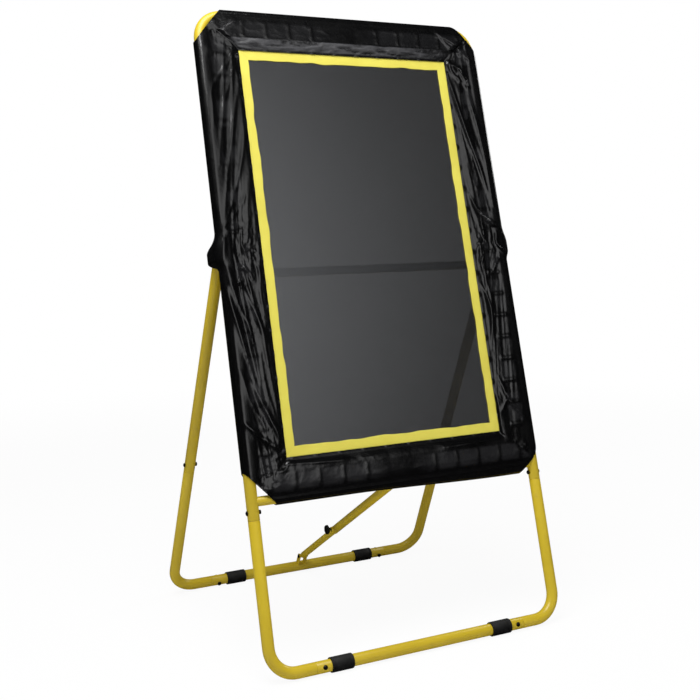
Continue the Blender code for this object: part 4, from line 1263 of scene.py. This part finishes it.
def fold(x, u, knots, width, height):
    """The height of one fold: a crest along a line, which fades at both its ends."""
    path = smooth_path(knots)
    place = np.column_stack([x, u])
    best = np.full(len(x), 1e9)
    along = np.zeros(len(x))
    for i in range(len(path) - 1):
        leg = path[i + 1] - path[i]
        part = np.clip((place - path[i]) @ leg / (leg @ leg), 0, 1)
        away = np.hypot(*(place - path[i] - part[:, None] * leg).T)
        nearer = away < best
        best = np.where(nearer, away, best)
        along = np.where(nearer, (i + part) / (len(path) - 1), along)
    fade = np.clip(np.sin(np.pi * np.clip(along, 0.02, 0.98)), 0, 1) ** 0.5
    return height * fade * np.exp(1 - np.sqrt((best / width) ** 2 + 1))


FOLDS = [
    # from the upper left corner to the left pouch
    ([(-0.396, 2.100), (-0.424, 2.084), (-0.462, 2.053)], 0.0085, 0.0055),
    ([(-0.400, 2.060), (-0.440, 2.045), (-0.480, 2.020)], 0.0050, 0.0030),
    ([(-0.414, 2.007), (-0.469, 1.928), (-0.518, 1.858), (-0.521, 1.798), (-0.525, 1.732)], 0.0050, 0.0045),
    ([(-0.430, 1.937), (-0.462, 1.860), (-0.486, 1.785), (-0.504, 1.692), (-0.518, 1.601)], 0.0050, 0.0045),
    ([(-0.420, 1.880), (-0.450, 1.770), (-0.475, 1.660), (-0.505, 1.520), (-0.530, 1.390)], 0.0050, 0.0040),
    ([(-0.415, 1.740), (-0.440, 1.620), (-0.480, 1.500), (-0.530, 1.386)], 0.0045, 0.0035),
    ([(-0.545, 1.620), (-0.547, 1.477), (-0.541, 1.434), (-0.542, 1.388)], 0.0040, 0.0030),
    ([(-0.524, 2.007), (-0.496, 1.990), (-0.464, 1.973)], 0.0110, 0.0035),
    ([(-0.425, 1.560), (-0.450, 1.480), (-0.500, 1.420), (-0.535, 1.386)], 0.0045, 0.0030),
    # round and below the left pouch
    ([(-0.533, 1.359), (-0.538, 1.317), (-0.541, 1.275)], 0.0035, 0.0030),
    ([(-0.532, 1.257), (-0.515, 1.211), (-0.478, 1.220)], 0.0045, 0.0024),
    ([(-0.531, 1.382), (-0.500, 1.374), (-0.462, 1.386)], 0.0050, 0.0020),
    ([(-0.470, 1.380), (-0.476, 1.330), (-0.458, 1.285)], 0.0040, 0.0032),
    ([(-0.505, 1.262), (-0.470, 1.250), (-0.446, 1.212)], 0.0040, 0.0032),
    ([(-0.540, 1.250), (-0.514, 1.159), (-0.483, 1.053), (-0.466, 0.948)], 0.0050, 0.0040),
    ([(-0.555, 1.247), (-0.540, 1.160), (-0.514, 1.037), (-0.498, 0.930)], 0.0045, 0.0035),
    ([(-0.500, 1.230), (-0.470, 1.150), (-0.440, 1.050), (-0.430, 0.940)], 0.0045, 0.0030),
    ([(-0.420, 1.300), (-0.428, 1.180), (-0.424, 1.040)], 0.0035, 0.0020),
    ([(-0.535, 0.764), (-0.490, 0.719), (-0.427, 0.672)], 0.0050, 0.0040),
    ([(-0.498, 0.896), (-0.459, 0.797), (-0.416, 0.698)], 0.0050, 0.0040),
    ([(-0.530, 0.930), (-0.500, 0.820), (-0.450, 0.710)], 0.0050, 0.0025),
    # the right side
    ([(0.389, 2.107), (0.455, 2.065), (0.513, 2.009)], 0.0050, 0.0045),
    ([(0.389, 2.107), (0.430, 2.058), (0.513, 2.009)], 0.0028, 0.0022),
    ([(0.412, 2.003), (0.458, 1.968), (0.489, 1.902)], 0.0050, 0.0045),
    ([(0.412, 2.003), (0.440, 1.945), (0.489, 1.902)], 0.0028, 0.0022),
    ([(0.408, 1.953), (0.433, 1.820), (0.459, 1.697), (0.488, 1.590), (0.508, 1.480)], 0.0045, 0.0040),
    ([(0.480, 1.880), (0.500, 1.760), (0.515, 1.620), (0.520, 1.450)], 0.0045, 0.0030),
    ([(0.426, 1.496), (0.441, 1.448), (0.453, 1.423), (0.457, 1.379), (0.461, 1.323)], 0.0035, 0.0040),
    ([(0.447, 1.271), (0.433, 1.244), (0.433, 1.204)], 0.0035, 0.0035),
    ([(0.446, 1.427), (0.492, 1.391), (0.522, 1.372)], 0.0045, 0.0045),
    ([(0.514, 1.354), (0.510, 1.310), (0.542, 1.273)], 0.0035, 0.0035),
    ([(0.479, 1.214), (0.495, 1.240), (0.511, 1.257)], 0.0035, 0.0035),
    ([(0.419, 1.165), (0.431, 1.125), (0.442, 1.058), (0.424, 0.931)], 0.0035, 0.0030),
    ([(0.447, 1.168), (0.450, 1.101), (0.456, 1.057)], 0.0035, 0.0030),
    ([(0.430, 0.830), (0.465, 0.740), (0.515, 0.680)], 0.0045, 0.0030),
    ([(0.470, 0.782), (0.446, 0.744), (0.420, 0.708)], 0.0032, 0.0026),
    # along the bottom
    ([(-0.440, 0.628), (-0.310, 0.618), (-0.180, 0.613)], 0.0035, 0.0022),
    ([(0.170, 0.613), (0.310, 0.617), (0.430, 0.624)], 0.0035, 0.0022),
]
FOLD_REACH = 0.04  # no fold is felt further away from its knots


def crispness(knots):
    """The left side's upper folds are soft, and those on the right are crisp."""
    if knots[0][0] > 0:
        return 1.40
    return 0.55 if np.mean(knots, 0)[1] > 1.45 else 1.15


def long_folds(x, u, kind):
    """The height of all the folds in the table that cross a panel."""
    height = np.zeros(len(x))
    on_panel = np.abs(x) > 0.36 if kind == "side" else np.abs(u - 1.3) > 0.6
    for knots, width, tall in FOLDS:
        low, high = np.min(knots, 0) - FOLD_REACH, np.max(knots, 0) + FOLD_REACH
        close = on_panel & (x > low[0]) & (x < high[0]) & (u > low[1]) & (u < high[1])
        if close.any():
            height[close] += fold(x[close], u[close], knots, width, tall * crispness(knots))
    return height


print("folds:", len(FOLDS))

# %% [markdown]
# A panel is a grid on the plan. Columns follow the section from the inner edge to behind the
# tube, and rows run from one corner to the other, so the outer rows lie exactly on the mitres.
# One small class holds what is known of each point: its place, its distance from the nearest
# mitre and from the nearest spring, and how far it belongs to the pouch.

# %% A panel's grid
PANELS = {  # its kind and side, the rows of its grid, and the tube that it lies on
    "left": ("side", -1, 456, "side_tube_left_tube"),
    "right": ("side", 1, 456, "side_tube_right_tube"),
    "top": ("end", 1, 308, "upper_corner_left_tube"),
    "bottom": ("end", -1, 308, "lower_cross_tube_tube"),
}
PANEL_SHAPES = {  # tube's place and radius, way to the inner edge, wrap, and the slope's turn and rise
    "left": (SIDE_X, TUBE_R, SIDE_X - edge_x, WRAP_BACK, 0.58, -0.0034),
    "right": (SIDE_X, TUBE_R, SIDE_X - edge_x, WRAP_BACK, TURN_AT, 0.0),
    "top": (FRAME_LENGTH, TUBE_R, FRAME_LENGTH - edge_top, WRAP_BACK, TURN_AT, 0.0022),
    "bottom": (CROSS_TUBE_UP, BAR_R, edge_low - CROSS_TUBE_UP, WRAP_BACK_LOW, 0.66, 0.0010),
}
POUCH = (1.250, 1.288, 1.316, 1.378)  # where a pouch rises and falls, up the frame


class Plan:
    """A panel's grid on the unrolled plan."""

    def __init__(self, name):
        self.name = name
        kind, side, count, self.tube = PANELS[name]
        self.kind, self.side, self.count = kind, side, count
        self.centre, self.tube_r, self.edge, self.wrap, self.turn, self.rise = PANEL_SHAPES[name]
        out, forward, _, _ = section(COLUMNS, self.tube_r, self.edge, self.wrap)
        self.arc = np.concatenate([[0], np.cumsum(np.hypot(np.diff(out), np.diff(forward)))])
        if kind == "side":
            start, stop = (limit(self.centre + out, kind, end, side) for end in (-1, 1))
            first, gap = side_places[0], side_gap
        else:
            start, stop = (end * limit(self.centre + side * out, kind, side, end) for end in (-1, 1))
            first, gap = end_places[0], end_gap
        self.runs = stop - start
        self.along = (start + self.runs * np.linspace(0, 1, count)[:, None]).ravel()
        self.q, self.across = np.tile(COLUMNS, count), np.tile(self.arc, count)
        self.ends = np.minimum(self.along - np.tile(start, count), np.tile(stop, count) - self.along)
        turns = (self.along - first) / gap
        self.from_spring = np.abs(turns - np.round(turns)) * gap
        if kind == "side":
            self.x, self.u = side * (edge_x + self.across), self.along
            self.swell = band(self.along, *POUCH)
        else:
            self.x, self.u = self.along, (edge_top if side > 0 else edge_low) + side * self.across
            self.swell = np.zeros(len(self.q))
        self.low_right = (self.x > 0) & (self.u < 1)

    def flat(self):
        """The panel's flat size and its area, as it was cut."""
        area = np.sum((self.runs[1:] + self.runs[:-1]) / 2 * np.diff(self.arc))
        return (float(self.arc[-1]), float(self.runs.max())), float(area)


print("columns of a panel:", len(COLUMNS))

# %% [markdown]
# The rest of the relief follows the springs. They press through as bars, and the patches
# between them are taut, with a paler colour that is partly dust and partly painted sheen. Long
# streaks run down the side panels and flow towards the pouch, and a strip of fine creases runs
# along the top.

# %% Wrinkles, bars and dust
WAVE_HEIGHT, STREAK_HEIGHT, GATHER_HEIGHT = 0.0060, 0.0018, 0.0042  # on the side panels
PATCH_TILT, DRAWN_HEIGHT = 0.0006, 0.0012  # on the end panels
SMOOTH_HALF = 0.10  # both end panels are smooth in the middle
SPRING_BAND = (0.044, 0.052, 0.094, 0.108)  # across a panel, where the springs press through
BAR_HALF = 0.0075
BAR_HEIGHT = {"side": 0.0018, "end": 0.0009}
PATCH_FROM = 0.0088  # from a spring's middle to the taut patch beside it
CREASE_BAND = (0.003, 0.012, 0.036, 0.046)
CREASE_HEIGHT = 0.0040
MITRE_REACH = 0.045
MITRE_HEIGHT = 0.0056
HEM_HEIGHT = 0.0005  # the hem is two layers thick


def side_wrinkles(plan):
    """Long streaks that spread from the corners and gather at the pouch."""
    u, side = plan.u, plan.side
    flow = plan.across + 0.12 * np.abs(u - POUCH_UP)
    waves = crumple(flow + 5 * side, u, 0.030, 0.33, 11, 1, 1.6) - 0.42
    streaks = crumple(flow + 7 * side, u, 0.012, 0.19, 31, 2, 2.2) - 0.35
    gathers = crumple(flow + 9, u, 0.017, 0.045, 91, 2, 1.8) - 0.38
    calm = 1 - 0.5 * ease(u, 1.40, 1.65) if side < 0 else 0.3 + 0.7 * ease(u, 0.62, 0.76)
    at_pouch = np.exp(-(((u - POUCH_UP) / 0.10) ** 2))
    return (WAVE_HEIGHT * waves + STREAK_HEIGHT * streaks) * calm + GATHER_HEIGHT * gathers * at_pouch


def end_wrinkles(plan, plain):
    """Each patch between two springs is pulled flat, with its own small tilt."""
    patch = np.floor((plan.along - end_places[0]) / end_gap).astype(int)
    tilt = np.random.default_rng(61 + plan.side).uniform(-1, 1, 64)[patch % 64]
    drawn = crumple(plan.x, plan.u, 0.075, 0.035, 11) - 0.3
    tilted = PATCH_TILT * tilt * np.sin(np.pi * plan.from_spring / end_gap)
    return tilted + DRAWN_HEIGHT * drawn * (1 - 0.5 * plain)


def relief(plan):
    """Height over the plan, how rubbed the vinyl is, and how dusty, where dust also carries painted sheen
    and painted highlights.
    """
    across, ends = plan.across, plan.ends
    flat_part = ease(across, 0.004, 0.03) * (1 - 0.9 * ease(across, 0.098, 0.116))
    on_spring = band(across, *SPRING_BAND) * ease(ends, 0.004, 0.02)
    taut = on_spring * (1 - np.exp(-((plan.from_spring / PATCH_FROM) ** 4)))
    if plan.kind == "side":
        # the bars are clear low down on the right, and faint elsewhere
        strength = 0.12 + (1 - ease(plan.u, 1.10, 1.50)) * (0.88 if plan.side > 0 else 0.25)
        wrinkles = side_wrinkles(plan)
        # paler colour on the taut patches between springs: partly dust, partly painted sheen
        dust = taut * ease(noise_field(plan.x / 0.035, plan.u / 0.05, 81), 0.45, 0.6) * 0.16
    else:
        plain = np.exp(-((plan.along / SMOOTH_HALF) ** 4))
        strength = 1 - plain
        wrinkles = end_wrinkles(plan, plain)
        # the taut patches get a paler colour, more on the bottom panel: partly dust, partly painted sheen;
        # the bars get none
        dust = taut * strength * (0.10 if plan.side > 0 else 0.20)
    bar = np.exp(-((plan.from_spring / BAR_HALF) ** 2)) * on_spring * strength
    height = long_folds(plan.x, plan.u, plan.kind) + BAR_HEIGHT[plan.kind] * bar + wrinkles * flat_part
    if plan.name == "top":
        strip = band(across, *CREASE_BAND)
        creases = crumple(plan.x, plan.u, 0.060, 0.012, 131, 3, 2.6)
        height += (creases - 0.20) * CREASE_HEIGHT * strip
        # painted highlights on the crease crests and a painted sheen over the strip, fading towards the
        # right
        dust += strip * (0.05 + 3.3 * creases) * (0.75 - plan.x) * ease(ends, 0.0, MITRE_REACH)
    by_mitre = np.exp(-((ends / MITRE_REACH) ** 2)) * flat_part * np.where(plan.low_right, 0.4, 1.0)
    height += corner_crumple(plan.x, plan.u) * MITRE_HEIGHT * by_mitre
    height += HEM_HEIGHT * (1 - ease(across, 0.0085, 0.0100))
    return height, bar, dust


# %% [markdown]
# Now the heights push the grid forwards over the springs, and outwards where it wraps the tube.
# Where the vinyl lies on a spring it can't go lower, which gives the bars their flat crests.
# Beside a mitre both panels blend into one shared height, so that they meet.

# %% Heights of a panel
ON_MAT = 0.0140
ON_SPRING = 0.0037  # how much higher the vinyl lies over a spring
SPRING_HALF = 0.0130
MEET = 0.014  # half the width of the blend at a mitre
CORNER_RISE = 0.0072
CORNER_HEIGHT = 0.0040
CORNER_PUFF = 0.0045  # the vinyl puffs up beside the hem at the lower right corner
SKIRT_DROP = 0.0125  # the bottom panel's skirt hangs lower to the right


def puff(from_edge):
    return CORNER_PUFF * band(from_edge, 0.0, 0.009, 0.009, 0.048)


def shared_level(plan, from_edge):
    """The height that two panels have in common at a mitre."""
    level = EDGE_FORWARD + CORNER_RISE * ease(from_edge, -0.012, 0.040)
    level += corner_crumple(plan.x, plan.u) * CORNER_HEIGHT * ease(from_edge, 0.025, 0.05)
    return level + puff(from_edge) * plan.low_right


def panel_points(plan):
    """World points of a panel, and how rubbed and how dusty each of them is, where dust also carries painted
    sheen.
    """
    level_at = LEVEL_AT
    if plan.name == "left":
        level_at = LEVEL_AT - 0.24 * ease(plan.ends, 0.0, 0.12)  # it lies flatter than the others
    top = SLOPE_FORWARD + plan.rise
    shape = section(plan.q, plan.tube_r, plan.edge, plan.wrap, plan.swell, level_at, plan.turn, top)
    out, forward, normal_out, normal_forward = shape
    height, bar, dust = relief(plan)
    hollow = height * (1 - ease(out, -0.034, -0.014))  # there are no hollows over the tube
    height = np.where(height < 0, hollow, height) * (1 - 0.5 * ease(plan.q, 1.9, 2.3))
    level = forward + height * normal_forward
    rest = ON_MAT + ON_SPRING * np.exp(-((plan.from_spring / SPRING_HALF) ** 4))
    level = np.where(plan.q < 1, np.maximum(level, rest), level)
    if plan.name == "right":
        level += puff(plan.across) * (1 - ease(plan.along, 0.735, 0.800))
    from_middle = plan.centre + out if plan.kind == "side" else np.abs(plan.along)
    meet = np.exp(-((plan.ends / MEET) ** 2)) * (1 - ease(out, -0.030, -0.006)) * (plan.q < 1)
    level += (shared_level(plan, np.clip(from_middle - edge_x, 0, 0.10)) - level) * meet
    out = out + height * normal_out
    if plan.name == "bottom":
        out += SKIRT_DROP * ease(plan.along, -0.20, 0.42) * ease(plan.q, 1.0, 2.0)
    if plan.kind == "side":
        return all_on_frame(plan.side * (plan.centre + out), plan.along, level), bar, dust
    return all_on_frame(plan.along, plan.centre + plan.side * out, level), bar, dust


# %% [markdown]
# One function makes all four panels from their plans. The UV map is the plan itself, in metres,
# so the vinyl's grain isn't stretched. Two attributes carry what its finish reads: where it is
# rubbed, and where it is dusty, which also carries a painted sheen and painted highlights.


# %% Panels
def cover_panel(plan):
    """A panel of vinyl, and its points in rows and columns."""
    points, bar, dust = panel_points(plan)
    faces = grid_faces(plan.count, len(COLUMNS))
    a, b, c = (points[index] for index in (faces[0][0], faces[0][1], faces[0][3]))
    if np.cross(b - a, c - a) @ np.array(FRAME_FORWARD) < 0:
        faces = [face[::-1] for face in faces]  # faces point forwards, and the wall goes behind them
    panel = make_piece(f"cover_{plan.name}_panel", points, faces, VINYL, 60)
    add_uv(panel, np.column_stack([plan.across, plan.along]))
    for label, values in (("rubbed", bar), ("dust", dust)):
        panel.data.attributes.new(label, "FLOAT", "POINT").data.foreach_set("value", values)
    thicken(panel, SKIN)
    return settle(panel, 60), points.reshape(plan.count, len(COLUMNS), 3)


panels = []
for name in PANELS:
    plan = Plan(name)
    panel, grid = cover_panel(plan)
    panels.append((panel, plan, grid))
    print(panel.name, "flat", [round(value, 3) for value in plan.flat()[0]], "m")

# %% [markdown]
# The hem along the inner edge is turned over and sewn with black thread. The stitch tree does
# it again, along the third column of each panel's grid.

# %% Hem stitches
HEM_COLUMN = 2
ROWS_SHORT = 6  # the seam stops short of the mitres
THREAD_UP = np.array(FRAME_FORWARD) * 0.0001
seams = [grid[ROWS_SHORT:-ROWS_SHORT, HEM_COLUMN] + THREAD_UP for _, _, grid in panels]
hem_stitches = sew("cover_hem_stitches", seams, VINYL, 0.007, 0.0046, 0.0004, 5)
print("hem stitches:", len(hem_stitches.data.polygons) // 8)

for panel, plan, _ in panels:
    fit_out(panel, "front_frame", "black_vinyl", f"cover_{plan.name}")
fit_out(hem_stitches, "front_frame", "black_vinyl")

for panel, plan, _ in panels:
    flat_size, flat_area = plan.flat()
print("sheets:", 1 + len(panels))

# %% [markdown]
# The studio is plain: a pale floor that keeps a soft shadow, one large lamp overhead on the left
# and a weak one behind on the right. What the camera sees of the floor glows almost white, so
# that the object stands by itself, with only a little of its shadow left.


# %% Floor and lamps
def lamp(name, place, target, size, watts):
    light = bpy.data.lights.new(name, "AREA")
    light.shape = "RECTANGLE"
    light.size, light.size_y = size
    light.energy = watts
    holder = add_object(name, light)
    place, target = Vector(place), Vector(target)
    turn = (target - place).to_track_quat("-Z", "Y")
    holder.matrix_world = Matrix.Translation(place) @ turn.to_matrix().to_4x4()
    holder.visible_camera = False


def pale_floor():
    """White to the camera, with a little of the shadow left, and dark in mirrors."""
    paint = Finish("pale_floor")
    rays = paint.node("ShaderNodeLightPath").outputs
    place = paint.node("ShaderNodeVectorMath", {"operation": "LENGTH"}, {0: paint.object})
    far = Wire(place.outputs["Value"]).between(2.5, 6.0)
    glow = paint.node("ShaderNodeEmission", None, {"Color": (1, 1, 1, 1), "Strength": 1.0})
    matt = paint.node("ShaderNodeBsdfDiffuse", None, {"Color": (0.86, 0.86, 0.86, 1)})
    dim = paint.node("ShaderNodeBsdfDiffuse", None, {"Color": (0.02, 0.02, 0.02, 1)})
    inputs = {0: rays["Is Glossy Ray"], 1: matt.outputs[0], 2: dim.outputs[0]}
    ground = paint.node("ShaderNodeMixShader", None, inputs)
    mask = Wire(rays["Is Camera Ray"]) * (0.93 + far * 0.07)
    mixed = paint.node("ShaderNodeMixShader", None, {0: mask, 1: ground.outputs[0], 2: glow.outputs[0]})
    feed(paint.tree.nodes["Material Output"], {"Surface": mixed.outputs[0]})
    return paint.material


FLOOR_R = 24
FLOOR_DOWN = 0.0004  # just below the soles
rim = [(FLOOR_R * x, FLOOR_R * y, -FLOOR_DOWN) for x, y in circle(96)]
floor = make_piece("floor", rim, [tuple(range(len(rim)))], pale_floor())
floor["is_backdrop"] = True

lamp("key_lamp", (-1.2, -1.25, 4.5), (-0.2, -0.2, 1.3), (2.5, 2.5), 185)
lamp("side_lamp", (3.6, 0.9, 2.9), (0, 0, 0.8), (1.3, 1.6), 32)
print("lamps: 2")

# %% [markdown]
# The camera sees white surroundings. Black vinyl would turn grey if it mirrored them, so
# mirrored rays see a dark room instead, with one white screen in it. That screen gives the mat
# and the folds their soft sheen. The light path says which kind of ray is asking.

# %% The white surround, and the screen
SCREEN_AT = (0.200, -0.900, 0.387)  # direction of the white screen that shiny surfaces mirror
SCREEN_FADES, SCREEN_FULL = math.radians(19.5), math.radians(8)
SCREEN_GLOW, ROOM_GLOW, AMBIENT = 0.98, 0.012, 0.36
world = bpy.data.worlds.new("studio")
bpy.context.scene.world = world
world.use_nodes = True
sky = world.node_tree
sky.nodes.clear()
direction = make_node(sky, "ShaderNodeTexCoord").outputs["Generated"]
rays = make_node(sky, "ShaderNodeLightPath").outputs
white = Wire(rays["Is Camera Ray"]) + Wire(rays["Is Transmission Ray"])
screen = make_node(sky, "ShaderNodeVectorMath", {"operation": "DOT_PRODUCT"}, {0: direction, 1: SCREEN_AT})
screen = Wire(screen.outputs["Value"]).between(math.cos(SCREEN_FADES), math.cos(SCREEN_FULL))
mirrored = Wire(rays["Is Glossy Ray"]) * (ROOM_GLOW + screen * screen * SCREEN_GLOW)
around = Wire(rays["Is Diffuse Ray"]) * AMBIENT
total = white + mirrored + around
level = total.maths("MINIMUM", total, 1.0)
glow = make_node(sky, "ShaderNodeBackground", None, {"Color": (1, 1, 1, 1), "Strength": level})
make_node(sky, "ShaderNodeOutputWorld", None, {"Surface": glow.outputs[0]})
bpy.context.scene.view_settings.view_transform = "Standard"
print("the world has", len(sky.nodes), "nodes")

# %% [markdown]
# Last come the sizes: the box of the solids and the box of the dressed object, side by side, so
# that one can see that dressing it has not made it bigger.

# %% Sizes, and finish
dressed_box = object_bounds()
sizes = {
    "solids": [list(corner) for corner in solid_box],
    "dressed": [list(corner) for corner in dressed_box],
}
for name, corners in sizes.items():
    print(name, [round(high - low, 4) for low, high in zip(*corners)])
